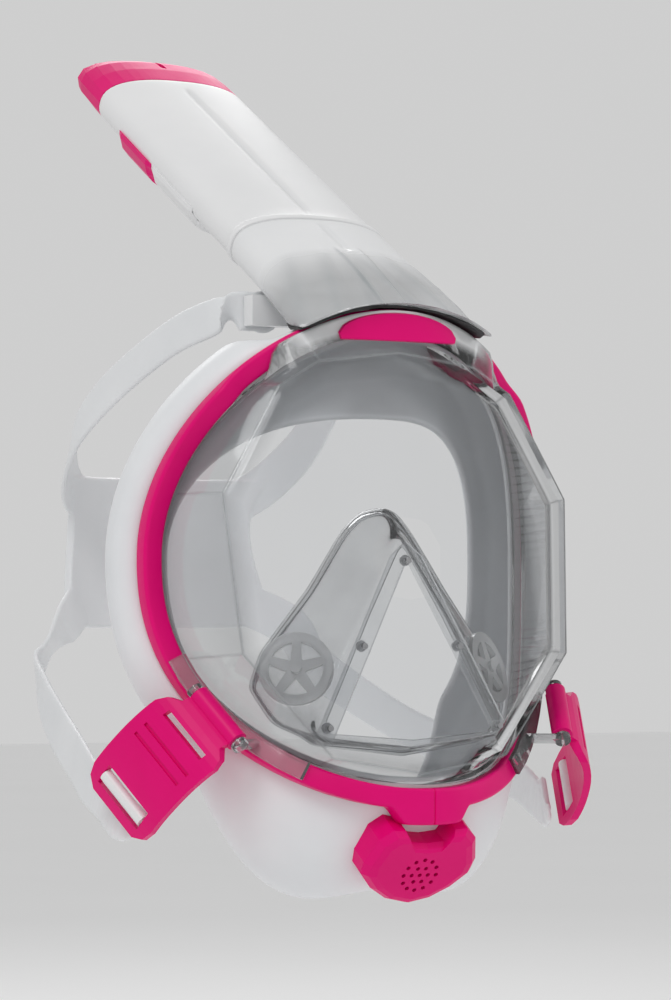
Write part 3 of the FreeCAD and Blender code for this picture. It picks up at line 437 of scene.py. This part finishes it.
def evened(path, count):
    """The path again, as that many points that are spread evenly along it."""
    gone = [0.0]
    for one, two in zip(path, path[1:]):
        gone.append(gone[-1] + (two - one).length)
    found, j = [], 0
    for k in range(count):
        target = gone[-1] * k / (count - 1)
        while j < len(path) - 2 and gone[j + 1] < target:
            j += 1
        found.append(path[j].lerp(path[j + 1], min(1.0, (target - gone[j]) / (gone[j + 1] - gone[j]))))
    return found


def tipped(path):
    """The path with extra points at both ends, so that a wall along it gets round ends."""
    first = [path[0].lerp(path[1], t) for t in (0.0, 0.05, 0.2, 0.5)]
    last = [path[-1].lerp(path[-2], t) for t in (0.5, 0.2, 0.05, 0.0)]
    return first + path[1:-1] + last


def wall_ring(angle, points, half, count):
    """A section of a wall about the Y axis: a smooth curve through (outward, backward) points."""
    return off_rim(angle, wall_section(tipped(evened(curve(points, 6), count)), half))


rings = [wall_ring(a, skirt_path(a), SKIRT_WALL / 2, 44) for a in turns(216)]
skirt = skin("skirt_silicone_body", rings, True, True)
place_piece(skirt, skirt_silicone, "mask", ["skirt"])

# ---------------------------------------------------------------- clamp frame ring with its tab
TAB_WIDE, TAB_NARROW, TAB_DROP = 18.0, 10.5, 6.0
SEAM_DEEP, SEAM_WIDE, FRAME_ROUND = 0.7, 0.28, 1.5


def rounded(u0, u1, v0, v1, radius, steps=4):
    """A rounded rectangle as a list of points."""
    found = []
    for cu, cv, start in ((u1 - radius, v1 - radius, 0), (u0 + radius, v1 - radius, 90),
                          (u0 + radius, v0 + radius, 180), (u1 - radius, v0 + radius, 270)):
        for k in range(steps + 1):
            turn = math.radians(start + 90 * k / steps)
            found.append(Vector((cu + radius * math.cos(turn), cv + radius * math.sin(turn))))
    return found


def frame_section(angle):
    radius, y = rim(angle)
    x = abs(radius * math.cos(angle))
    front = -FRAME_DEPTH / 2 + BROW_COVER * brow_share(angle, 40.0)
    tab = 0.0
    if math.sin(angle) < 0:
        tab = TAB_DROP * smooth((TAB_WIDE - x) / (TAB_WIDE - TAB_NARROW))
    seam = SEAM_DEEP * math.exp(-(x / SEAM_WIDE) ** 2) if math.sin(angle) < 0 else 0.0
    found = []
    for p in rounded(-FRAME_WIDTH, 0.0, front, FRAME_DEPTH / 2, FRAME_ROUND):
        outer = p.x > -FRAME_WIDTH / 2
        found.append(Vector((p.x + (tab if outer else 0.0) - (seam if outer else 0.0),
                             p.y + (seam if p.y < 0 else 0.0))))
    return found


seam_turns = [DOWN + s * t for s in (-1, 1) for t in (0.06, 0.12, 0.2, 0.3, 0.5)]
tab_turns = [DOWN + s * t for s in (-1, 1) for t in (6.0, 7.0, 8.0, 9.0, 10.0, 11.0)]
rings = [off_rim(a, frame_section(a)) for a in turns(240, seam_turns + tab_turns)]
ring = skin("lens_frame_ring", rings, True, True)
place_piece(ring, pink_plastic, "mask", ["lens_frame"])

# ---------------------------------------------------------------- clear lens
PANE_CORNERS = [(0, 80), (35, 75.5), (52.5, 65.5), (77.5, 24), (73, -37), (39, -76.5), (0, -83)]
PANE_DEPTH, PANE_LEAN, PANE_CROWN = 49.4, 0.118, 0.0011


def pane_y(x, z):
    return -PANE_DEPTH + PANE_LEAN * z + PANE_CROWN * x * x


def reach_of(loop, angle, centre_z=0.0):
    """Distance from the axis at centre_z to a mirrored outline of (x, z) corners."""
    c, s = abs(math.cos(angle)), math.sin(angle)
    for (x0, z0), (x1, z1) in zip(loop, loop[1:]):
        z0, z1 = z0 - centre_z, z1 - centre_z
        crossing = c * (z1 - z0) - s * (x1 - x0)
        if abs(crossing) < 1e-9:
            continue
        t = (s * x0 - c * z0) / crossing
        reach = (x0 + t * (x1 - x0)) * c + (z0 + t * (z1 - z0)) * s
        if -1e-9 <= t <= 1 + 1e-9 and reach > 0:
            return reach
    raise ValueError("no crossing")


corner_turns = []
for x, z in PANE_CORNERS[1:-1]:
    turn = math.degrees(math.atan2(z, x))
    corner_turns += [turn, 180 - turn]


# How strongly a painted shade line marks a point at that distance from a crease.
def shade_line_mark(distance, width=0.5):
    return math.exp(-(distance / width) ** 2)


def lens_row(angle):
    """Points from the outer centre over the crease and rim to the inner centre, with a mark for painted shade
    lines at the crease, the corner spokes and the rim.
    """
    radius, y = rim(angle)
    crease = reach_of(PANE_CORNERS, angle)
    spoke = min(away_from(angle, t) for t in corner_turns)
    found = []

    def pane_point(share, back):
        p = polar(angle, crease * share, 0)
        return Vector((p.x, pane_y(p.x, p.z) + back, p.z))

    for share in (0.02, 0.25, 0.5, 0.75, 0.92, 0.985):
        found.append((pane_point(share, 0.0), shade_line_mark((1 - share) * crease)))
    ridge = pane_point(0.9985, 0.12)
    found.append((ridge, 1.0))
    brow = brow_share(angle)
    edge = radius - LENS_INSET + (LENS_INSET - 0.8) * brow
    side_end = polar(angle, edge, y - 2.0 - 0.6 * brow)
    run = (side_end - ridge).length
    for share in (0.04, 0.12, 0.35, 0.65, 0.92, 1.0):
        # Painted shade lines at the corner spokes, and a light painted shade toward the rim.
        mark = max(shade_line_mark(share * run), 0.75 * shade_line_mark(math.radians(spoke) * radius, 0.6))
        mark = max(mark, 0.35 * smooth((share - 0.6) / 0.4))
        found.append((ridge.lerp(side_end, share), mark))
    back_y = y - 2.0 + 1.9 * brow
    found.append((polar(angle, edge, back_y), 0.35))
    found.append((polar(angle, radius - LENS_INSET, back_y), 0.3))
    found.append((polar(angle, radius - LENS_INSET, y + 3.1), 0.3))
    found.append((polar(angle, radius - LENS_INSET - LENS_WALL, y + 3.1), 0.3))
    for share in (1.0, 0.9, 0.7, 0.45, 0.2):
        inner = (crease - LENS_WALL * 0.8) / crease
        found.append((pane_point(share * inner, LENS_WALL), 0.6 * shade_line_mark((1 - share) * crease)))
    return found


def milk_mark(p):
    """How milky the lens is at a point: it is clear but for the brow strip in front of the frame."""
    angle = math.atan2(p.z, p.x)
    past = math.hypot(p.x, p.z) - (rim(angle)[0] - LENS_INSET)
    return brow_share(angle, 24.0) * smooth(past / 2.5)


lens_turns = [t + d for t in corner_turns for d in (-0.7, -0.25, 0.25, 0.7)]
rows = [lens_row(a) for a in turns(144, corner_turns + lens_turns)]
# The edge attribute carries the painted shade lines; milk carries the milky brow strip.
edge_shade_marks = [mark for row in rows for _, mark in row]
milk_marks = [milk_mark(p) for row in rows for p, _ in row]
lens_marks = {"edge": edge_shade_marks, "milk": milk_marks}
lens = skin("lens_moulding", [[p for p, _ in row] for row in rows], False, True, False, lens_marks)
place_piece(lens, lens_clear, "mask", ["lens"])

# ---------------------------------------------------------------- nose pocket
POCKET_AXIS, POCKET_WALL = -50.0, 1.4
INNER_LOOP = [(0, 6), (16, -22), (38, -64), (38, -67), (0, -70)]
OUTER_LOOP = [(0, 19.5), (8, 17.5), (15, 10), (30, -12), (50, -37), (56, -50), (50, -64), (36, -72), (0, -76)]
VALVE_AT = Vector((-43.0, -35.5, -43.0))
VALVE_TURN, VALVE_TILT, VALVE_RADIUS = math.radians(35.0), math.radians(18.0), 14.5
valve_side = -math.sin(VALVE_TURN) * math.cos(VALVE_TILT)
valve_front = -math.cos(VALVE_TURN) * math.cos(VALVE_TILT)
VALVE_OUT = Vector((valve_side, valve_front, math.sin(VALVE_TILT)))


def pocket_ring(angle):
    near = reach_of(INNER_LOOP, angle, POCKET_AXIS)
    far = reach_of(OUTER_LOOP, angle, POCKET_AXIS)
    c, s = math.cos(angle), math.sin(angle)
    front = pane_y(near * c, POCKET_AXIS + near * s) + LENS_WALL + 4.3
    rise = 0.68 * (far - near) * abs(c) + 0.5 * (far - near) * max(0.0, s) + 4
    points = [(near, front), (near + 4, front + 1.0), ((near + far) / 2, front + 0.5 * rise),
              (far - 1, front + rise), (far, front + rise + 5)]
    section = wall_section(tipped(evened(curve(points, 6), 26)), POCKET_WALL / 2)
    return [Vector((p.x * c, p.y, POCKET_AXIS + p.x * s)) for p in section]


def in_valve(point):
    """True for a point inside one of the pocket's two valve seats."""
    near = Vector((-abs(point.x), point.y, point.z)) - VALVE_AT
    along = near.dot(VALVE_OUT)
    return (near - VALVE_OUT * along).length < VALVE_RADIUS - 0.6 and abs(along) < 12


def drop_faces(obj, unwanted):
    """Removes the faces whose middle is unwanted."""
    mesh = obj.data
    points = [v.co / MM for v in mesh.vertices]
    faces = [tuple(p.vertices) for p in mesh.polygons if not unwanted(p.center / MM)]
    name = mesh.name
    obj.data = bpy.data.meshes.new(name + "_open")
    obj.data.from_pydata([tuple(p * MM) for p in points], [], faces)
    obj.data.polygons.foreach_set("use_smooth", [True] * len(faces))


pocket = skin("nose_pocket_moulding", [pocket_ring(a) for a in turns(180)], True, True)
smoothing = pocket.modifiers.new("soft", "SMOOTH")
smoothing.factor, smoothing.iterations = 0.5, 6
drop_faces(pocket, in_valve)
place_piece(pocket, pocket_clear, "mask", ["nose_pocket"])

# ---------------------------------------------------------------- snorkel
LEAN = math.radians(59.0)
ROOT = Vector((0.0, -12.0, 101.0))
AXIS = Vector((0.0, math.sin(LEAN), math.cos(LEAN)))
CROWN = Vector((0.0, -math.cos(LEAN), math.sin(LEAN)))
TUBE_HALF, TUBE_DEEP, TUBE_WALL = 35.0, 13.0, 2.0
JOINT_AT, SPIGOT_AT, CAP_AT = 50.0, 30.0, 192.0
SPIGOT_IN = 2.4
GROOVE_DEEP, GROOVE_LOW, GROOVE_HIGH = 0.95, JOINT_AT + 9.0, CAP_AT - 9.0
WINDOW_LOW, WINDOW_HIGH, WINDOW_HALF = 96.0, 129.0, 24.0


def oval_ring(k, half, deep, dent=0.0, count=112, power=2.5, ripple=None):
    """A ring of the snorkel's oval at a distance along its axis, with a groove along its crown."""
    found = []
    for j in range(count):
        turn = 2 * math.pi * j / count
        c, s = math.cos(turn), math.sin(turn)
        radius = (abs(c / half) ** power + abs(s / deep) ** power) ** (-1 / power)
        x, rise = radius * c, radius * s
        if s > 0:
            rise -= dent * math.exp(-(x / 1.5) ** 2)
            if ripple:
                rise += ripple(x, k)
        found.append(ROOT + AXIS * k + Vector((x, 0, 0)) + CROWN * rise)
    return found


def groove(k):
    """Depth of the groove along the tube's crown, with rounded ends."""
    return GROOVE_DEEP * smooth((k - GROOVE_LOW) / 3.5) * smooth((GROOVE_HIGH - k) / 4.0)


def grown(k, grow, dent=0.0):
    return oval_ring(k, TUBE_HALF + grow, TUBE_DEEP + grow, dent)


outside = [(CAP_AT - 0.35, -0.5), (CAP_AT - 0.5, -0.1), (CAP_AT - 0.9, 0.0)]
outside += [(CAP_AT - 4.0 - 2.0 * k, 0.0) for k in range(64)]
outside += [(JOINT_AT + 5.0, 0.0), (JOINT_AT + 4.2, 0.15), (JOINT_AT + 3.5, 0.75), (JOINT_AT + 2.8, 1.0),
            (JOINT_AT + 1.2, 1.0), (JOINT_AT + 0.5, 0.7), (JOINT_AT + 0.3, 0.2), (JOINT_AT + 0.3, -SPIGOT_IN)]
outside += [(SPIGOT_AT + 9.0, -SPIGOT_IN), (SPIGOT_AT + 0.6, -SPIGOT_IN), (SPIGOT_AT, -SPIGOT_IN - 0.5)]
inside = [(SPIGOT_AT, -SPIGOT_IN - 2.0), (JOINT_AT + 4, -SPIGOT_IN - 2.4), (JOINT_AT + 8, -TUBE_WALL),
          (CAP_AT - 12, -TUBE_WALL), (CAP_AT - 0.4, -TUBE_WALL)]
rings = [grown(k, g, groove(k)) for k, g in outside] + [grown(k, g) for k, g in inside]
tube = skin("snorkel_tube_moulding", rings, True, True)


def tube_look():
    """White plastic, with painted shade: near black inside the louvred cover where the tube's back window is,
    and a grey line along the groove in its crown.
    """
    look = Look("tube_plastic")
    x, y, z = look.place()
    along = (y - ROOT.y) * AXIS.y + (z - ROOT.z) * AXIS.z
    crown = (y - ROOT.y) * CROWN.y + (z - ROOT.z) * CROWN.z
    # Painted shade: near black over the back window under the louvred cover.
    window = along.inside(WINDOW_LOW, WINDOW_HIGH, 1.0) * x.inside(-WINDOW_HALF, WINDOW_HALF, 1.0)
    window = window * (-crown).inside(8.0, 30.0, 1.0)
    cloud = look.noise(22.0)
    white = look.tint((cloud * 1.6 - 0.3).clip(), (0.84, 0.84, 0.845), (0.785, 0.79, 0.795))
    # Painted shade: a grey line along the groove down the middle of the crown.
    seam = (x.bell(0.0, 1.1) * along.inside(58.0, 184.0, 3.0) * (crown / 9.0).clip() * 0.22).clip()
    shaded = look.tint(seam, white, (0.5, 0.51, 0.52))
    colour = look.tint(window, shaded, (0.06, 0.06, 0.065))
    grain = look.bump(look.noise(1100.0, 2.0), 0.04)
    gloss = 0.33 + (look.noise(130.0) - 0.5) * 0.15
    return look.finish(look.plastic(Base_Color=colour, Roughness=gloss, Normal=grain))


place_piece(tube, tube_look(), "snorkel", ["snorkel_tube"])

# the neck: it widens down to the frame, and its clear foot has flutes and a raised channel
NECK = [(-34, 40, 9.5), (-15, 39.5, 11.8), (0, 38, 13.0), (12, 36.4, 13.5), (28, 35.6, 13.6),
        (50, 35.4, 13.4)]
NECK_LOW, NECK_STEPS = -34.0, 56


def neck_flutes(x, k):
    foot = smooth((26 - k) / 14)
    channel = 0.9 * (smooth((6.4 - abs(x)) / 1.2) - 0.6 * smooth((4.6 - abs(x)) / 1.2))
    folds = 0.55 * math.sin(abs(x) * 0.42 + k * 0.12) * smooth((abs(x) - 8) / 5)
    return foot * (channel + folds)


def neck_size(k):
    for (k0, w0, d0), (k1, w1, d1) in zip(NECK, NECK[1:]):
        if k <= k1:
            t = (k - k0) / (k1 - k0)
            return w0 + (w1 - w0) * t, d0 + (d1 - d0) * t
    return NECK[-1][1], NECK[-1][2]


def over_frame(p, gap=1.6):
    """The point, moved out to the frame's outer edge where it would lie inside it."""
    angle = math.atan2(p.z, p.x)
    radius = math.hypot(p.x, p.z)
    least = rim(angle)[0] + gap
    return p if radius >= least else Vector((p.x * least / radius, p.y, p.z * least / radius))


rings = []
for step in range(NECK_STEPS + 1):
    k = NECK_LOW + (JOINT_AT - NECK_LOW) * step / NECK_STEPS
    half, deep = neck_size(k)
    dent = 0.9 * smooth((k - 20) / 4) * smooth((46 - k) / 3)
    rings.append([over_frame(p) for p in oval_ring(k, half, deep, dent, 112, 2.5, neck_flutes)])
half, deep = neck_size(JOINT_AT)
rings.append(oval_ring(JOINT_AT, half - 0.5, deep - 0.5))
rings.append(oval_ring(JOINT_AT, half - 2.2, deep - 2.2))
rings.append(oval_ring(SPIGOT_AT, half - 2.4, deep - 2.4))
neck = skin("neck_moulding", rings, True, False)


def neck_look():
    """Milky plastic above; toward the frame it turns clearer, with painted grey shade on its folds and along
    the sides of its raised channel, and grey streaks that vary at random.
    """
    look = Look("neck_plastic")
    x, y, z = look.place()
    along = (y - ROOT.y) * AXIS.y + (z - ROOT.z) * AXIS.z
    foot = ((22.0 - along) / 26.0).clip()
    # Painted shade on the foot's folds, in step with the folds of the mesh.
    fold_shade = ((x.math("ABSOLUTE") * 0.42 + along * 0.12).math("SINE") * 0.5 + 0.5) ** 2.0
    streaks = look.noise(60.0, 5.0)
    # Painted shade lines along the sides of the raised channel.
    channel_side_shade = x.math("ABSOLUTE").bell(5.6, 0.8) * ((24.0 - along) / 4.0).clip()
    # The grey share is painted shade of folds and channel sides, plus random streaks.
    grey = (foot * (fold_shade * 0.45 + streaks * 0.5 - 0.12) + channel_side_shade * 0.45).clip()
    cloud = look.noise(22.0)
    white = look.tint((cloud * 1.6 - 0.3).clip(), (0.83, 0.835, 0.84), (0.76, 0.77, 0.78))
    colour = look.tint(grey, white, (0.36, 0.38, 0.39))
    grain = look.bump(look.noise(90.0, 4.0), 0.06)
    body = look.plastic(Base_Color=colour, Roughness=0.3 - foot * 0.14, Normal=grain, Coat_Weight=0.3)
    air = look.node("ShaderNodeBsdfTransparent", 0, None, {"Color": (0.98, 0.985, 0.99, 1.0)})
    return look.finish(look.blend((foot * (0.42 - grey * 0.4)).clip(), body, air))


place_piece(neck, neck_look(), "mask", ["neck"])

# ---------------------------------------------------------------- head harness
HEAD_AT, HEAD_SIZE = Vector((0, 70, 10)), (85.0, 107.0, 112.0)
STRAP_WIDE, STRAP_THICK, RIB_TALL, RIB_TURN = 18.0, 2.2, 0.35, 2.2
HINGE_AT = Vector((-77.0, -35.5, -61.0))
HINGE_A = Vector((0.30, -0.66, -0.69)).normalized()
plate_line = Vector((-0.396, 0.572, -0.719))
HINGE_C = HINGE_A.cross(plate_line).normalized()
if HINGE_C.x > 0:
    HINGE_C = -HINGE_C
HINGE_B = (plate_line - HINGE_A * plate_line.dot(HINGE_A)).normalized()
BUCKLE_SKEW = 0.115


def head_normal(p):
    q = p - HEAD_AT
    return Vector((q.x / HEAD_SIZE[0] ** 2, q.y / HEAD_SIZE[1] ** 2, q.z / HEAD_SIZE[2] ** 2)).normalized()


def on_head(x, z, rise):
    """The point of the head's back at (x, z), lifted by rise."""
    share = 1 - (x / HEAD_SIZE[0]) ** 2 - ((z - HEAD_AT.z) / HEAD_SIZE[2]) ** 2
    p = Vector((x, HEAD_AT.y + HEAD_SIZE[1] * math.sqrt(max(0.0, share)), z))
    return p + head_normal(p) * rise


def strap_rings(points, widths, first_normal, turned_by=0.5, ribs=0.0):
    """Rings of a strap along the points. Its face turns from first_normal to the side, then to the head."""
    path = curve(points, 12)
    rings, gone = [], 0.0
    for k, p in enumerate(path):
        if k:
            gone += (p - path[k - 1]).length
        tangent = (path[min(k + 1, len(path) - 1)] - path[max(k - 1, 0)]).normalized()
        share = k / (len(path) - 1)
        on_side, at_back = smooth(gone / 25), smooth((share - turned_by) / (0.95 - turned_by))
        normal = first_normal * (1 - on_side) + Vector((-1, 0, 0.12)) * on_side
        normal = normal * (1 - at_back) + head_normal(p) * at_back
        normal = (normal - tangent * normal.dot(tangent)).normalized()
        side = tangent.cross(normal)
        half = (widths[0] + (widths[1] - widths[0]) * share) / 2
        thick = STRAP_THICK / 2
        if ribs and gone < ribs:
            thick += RIB_TALL * math.sin(gone * RIB_TURN)
        section = rounded(-half, half, -thick, thick, thick * 0.95, 3)
        rings.append([p + side * q.x + normal * q.y for q in section])
    return rings


def flipped(rings):
    return [[Vector((-p.x, p.y, p.z)) for p in ring] for ring in rings]


STUD_X, STUD_Y, STUD_Z = 27.0, 19.4, 99.0
upper = strap_rings([Vector(p) for p in (
    (-STUD_X - 3.9, STUD_Y + 1.57, STUD_Z), (-38, 22.8, 99), (-42.5, 34, 97), (-46, 58, 92), (-50, 84, 82),
    (-54, 108, 70), (-56, 128, 57), (-53, 143, 45), on_head(-45, 33, 0), on_head(-31, 24, 0))],
    (STRAP_WIDE - 2, STRAP_WIDE + 1), Vector((0, 1, 0)))
STRAP_END, RIBBED = 50.0, 34.0
plate_line.normalize()
tip = HINGE_AT + HINGE_A * (-BUCKLE_SKEW * STRAP_END) + HINGE_B * STRAP_END - HINGE_C * 5.6
lower = strap_rings([Vector(p) for p in (
    tip, tip + plate_line * 9 - HINGE_C * 0.8, (-97, 22, -92), (-95, 38, -87), (-89, 62, -79), (-82, 92, -69),
    (-75, 122, -56), (-67, 144, -43), on_head(-54, -26, 0), on_head(-37, -15, 0))],
    (STRAP_WIDE, STRAP_WIDE + 1), HINGE_C, 0.5, RIBBED)
PAD_HALF_THICK, VOXEL, SOFT_ROUNDS = 1.9, 0.75, 3
PAD_ROWS = [(38, 49), (28, 45), (17, 44), (6, 45), (-6, 47), (-16, 49), (-27, 52)]
pad = []
for row in curve([(z, half) for z, half in PAD_ROWS], 6):
    line = [(row.y * (j / 16 - 1), PAD_HALF_THICK) for j in range(33)]
    line += [(row.y * (1 - j / 16), -PAD_HALF_THICK) for j in range(33)]
    pad.append([on_head(x, row.x, rise) for x, rise in line])
eye = []
for rise, radius in ((-1.2, 3.6), (-1.2, 8.0), (0.0, 8.6), (1.2, 8.0), (1.2, 3.6)):
    eye.append([Vector((-STUD_X + radius * math.cos(math.radians(9 * j)), STUD_Y + 1.6 + rise,
                        STUD_Z + radius * math.sin(math.radians(9 * j)))) for j in range(40)])
parts = []
strap_parts = [(rings, False) for rings in (upper, flipped(upper), lower, flipped(lower), pad)]
strap_parts += [(eye, True), (flipped(eye), True)]
for k, (rings, loop) in enumerate(strap_parts):
    parts.append(skin(f"strap_{k}", rings, True, loop, not loop))


def fused(name, objects, voxel, rounds):
    """One smooth skin over several overlapping closed meshes."""
    points, faces = [], []
    for obj in objects:
        base = len(points)
        points += [v.co / MM for v in obj.data.vertices]
        faces += [tuple(base + v for v in p.vertices) for p in obj.data.polygons]
        bpy.data.objects.remove(obj)
    obj = make_mesh(name, points, faces)
    remesh = obj.modifiers.new("fuse", "REMESH")
    remesh.mode, remesh.voxel_size, remesh.use_smooth_shade = "VOXEL", voxel * MM, True
    soften = obj.modifiers.new("soften", "SMOOTH")
    soften.factor, soften.iterations = 0.5, rounds
    bpy.context.view_layer.update()
    final = bpy.data.meshes.new_from_object(obj.evaluated_get(bpy.context.evaluated_depsgraph_get()))
    obj.modifiers.clear()
    obj.data = final
    return obj


def split_off(obj, name, wanted):
    """Moves the faces whose middle is wanted into a new object."""
    mesh = obj.data
    pieces = []
    for label, keep in ((name, True), (obj.name, False)):
        faces = [tuple(p.vertices) for p in mesh.polygons if wanted(p.center / MM) == keep]
        used = sorted({v for face in faces for v in face})
        number = {v: k for k, v in enumerate(used)}
        points = [mesh.vertices[v].co / MM for v in used]
        pieces.append(make_mesh(label, points, [tuple(number[v] for v in face) for face in faces]))
    bpy.data.objects.remove(obj)
    return pieces


harness = fused("harness_straps", parts, VOXEL, SOFT_ROUNDS)
END_Y, END_Z = 62.0, -60.0
left_end, rest = split_off(harness, "strap_end_left", lambda p: p.x < 0 and p.y < END_Y and p.z < END_Z)
right_end, rest = split_off(rest, "strap_end_right", lambda p: p.x > 0 and p.y < END_Y and p.z < END_Z)
place_piece(rest, strap_silicone, "mask", ["harness"])
for piece, body, side in ((left_end, "buckle_left", 1), (right_end, "buckle_right", -1)):
    piece.data.materials.append(strap_silicone)
    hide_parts("harness")
    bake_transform(piece)

# ---------------------------------------------------------------- CAD pieces that stay, rounded and painted
SLOTS = {entry["node"]: entry["material_slot"] for entry in frame["record"]["subparts"]}
BY_SLOT = {"clear_plastic": fitting_clear, "pink_plastic": pink_plastic, "white_plastic": white_plastic,
           "black_rubber": black_rubber, "steel": pin_steel, "clear_silicone": flap_clear,
           "frosted_plastic": white_plastic, "white_silicone": skirt_silicone,
           "frosted_silicone": strap_silicone}


def finish_cad(node, material, bevel=0.0, segments=3):
    obj = frame["nodes"][node]
    obj.data.materials.clear()
    obj.data.materials.append(material)
    obj.data.shade_smooth()
    if bevel:
        edge = obj.modifiers.new("bevel", "BEVEL")
        edge.width, edge.segments, edge.limit_method = bevel * MM, segments, "ANGLE"
        edge.angle_limit, edge.harden_normals = math.radians(32), True
    else:
        normals = obj.modifiers.new("normals", "WEIGHTED_NORMAL")
        normals.keep_sharp = True


BEVELS = {"badge": 0.35, "purge_cover": 0.3, "top_cap": 0.5, "vent_hood": 0.4, "vent_cover": 0.25,
          "buckle_left": 0.4,
          "buckle_right": 0.4, "ear_left": 0.3, "ear_right": 0.3, "strap_anchor": 0.4, "pocket_clip": 0.25,
          "inhale_seat_left": 0.2, "inhale_seat_right": 0.2}
REPLACED = {"skirt", "lens_frame", "lens", "nose_pocket", "snorkel_tube", "neck", "harness"}
for node, slot_name in SLOTS.items():
    if node not in REPLACED:
        material = BY_SLOT[slot_name]
        if node.startswith("inhale_seat"):
            material = seat_clear
        finish_cad(node, material, BEVELS.get(node, 0.0))

# ---------------------------------------------------------------- floor and studio light
FLOOR_Z, FLOOR_HALF = -0.30, 6.0
floor_mesh = bpy.data.meshes.new("floor")
corners = [(x * FLOOR_HALF, y * FLOOR_HALF) for x, y in ((-1, -1), (1, -1), (1, 1), (-1, 1))]
floor_mesh.from_pydata([(x, y, FLOOR_Z) for x, y in corners], [], [(0, 1, 2, 3)])
floor = bpy.data.objects.new("floor", floor_mesh)
bpy.context.scene.collection.objects.link(floor)
floor_look = Look("floor_paint")
floor_tone = floor_look.tint(floor_look.noise(3.0), (0.93, 0.93, 0.93), (0.9, 0.9, 0.9))
floor_mesh.materials.append(floor_look.finish(floor_look.plastic(Base_Color=floor_tone, Roughness=0.7)))

world = bpy.data.worlds.new("studio")
bpy.context.scene.world = world
world.use_nodes = True
background = world.node_tree.nodes["Background"]
background.inputs["Color"].default_value = (1.0, 1.0, 1.0, 1.0)
background.inputs["Strength"].default_value = 0.62


def softbox(name, place, power, width, height):
    """A large area light that points at the mask."""
    data = bpy.data.lights.new(name, "AREA")
    data.energy, data.shape, data.size, data.size_y = power, "RECTANGLE", width, height
    light = bpy.data.objects.new(name, data)
    light.location = place
    light.rotation_euler = (CAMERA_TARGET - Vector(place)).to_track_quat("-Z", "Y").to_euler()
    bpy.context.scene.collection.objects.link(light)


softbox("key", (-0.9, -0.8, 1.2), 7.0, 0.6, 0.6)
softbox("fill", (1.1, -0.6, 0.5), 1.2, 0.6, 0.9)
softbox("back", (0.3, 1.1, 0.8), 3.5, 0.9, 0.5)
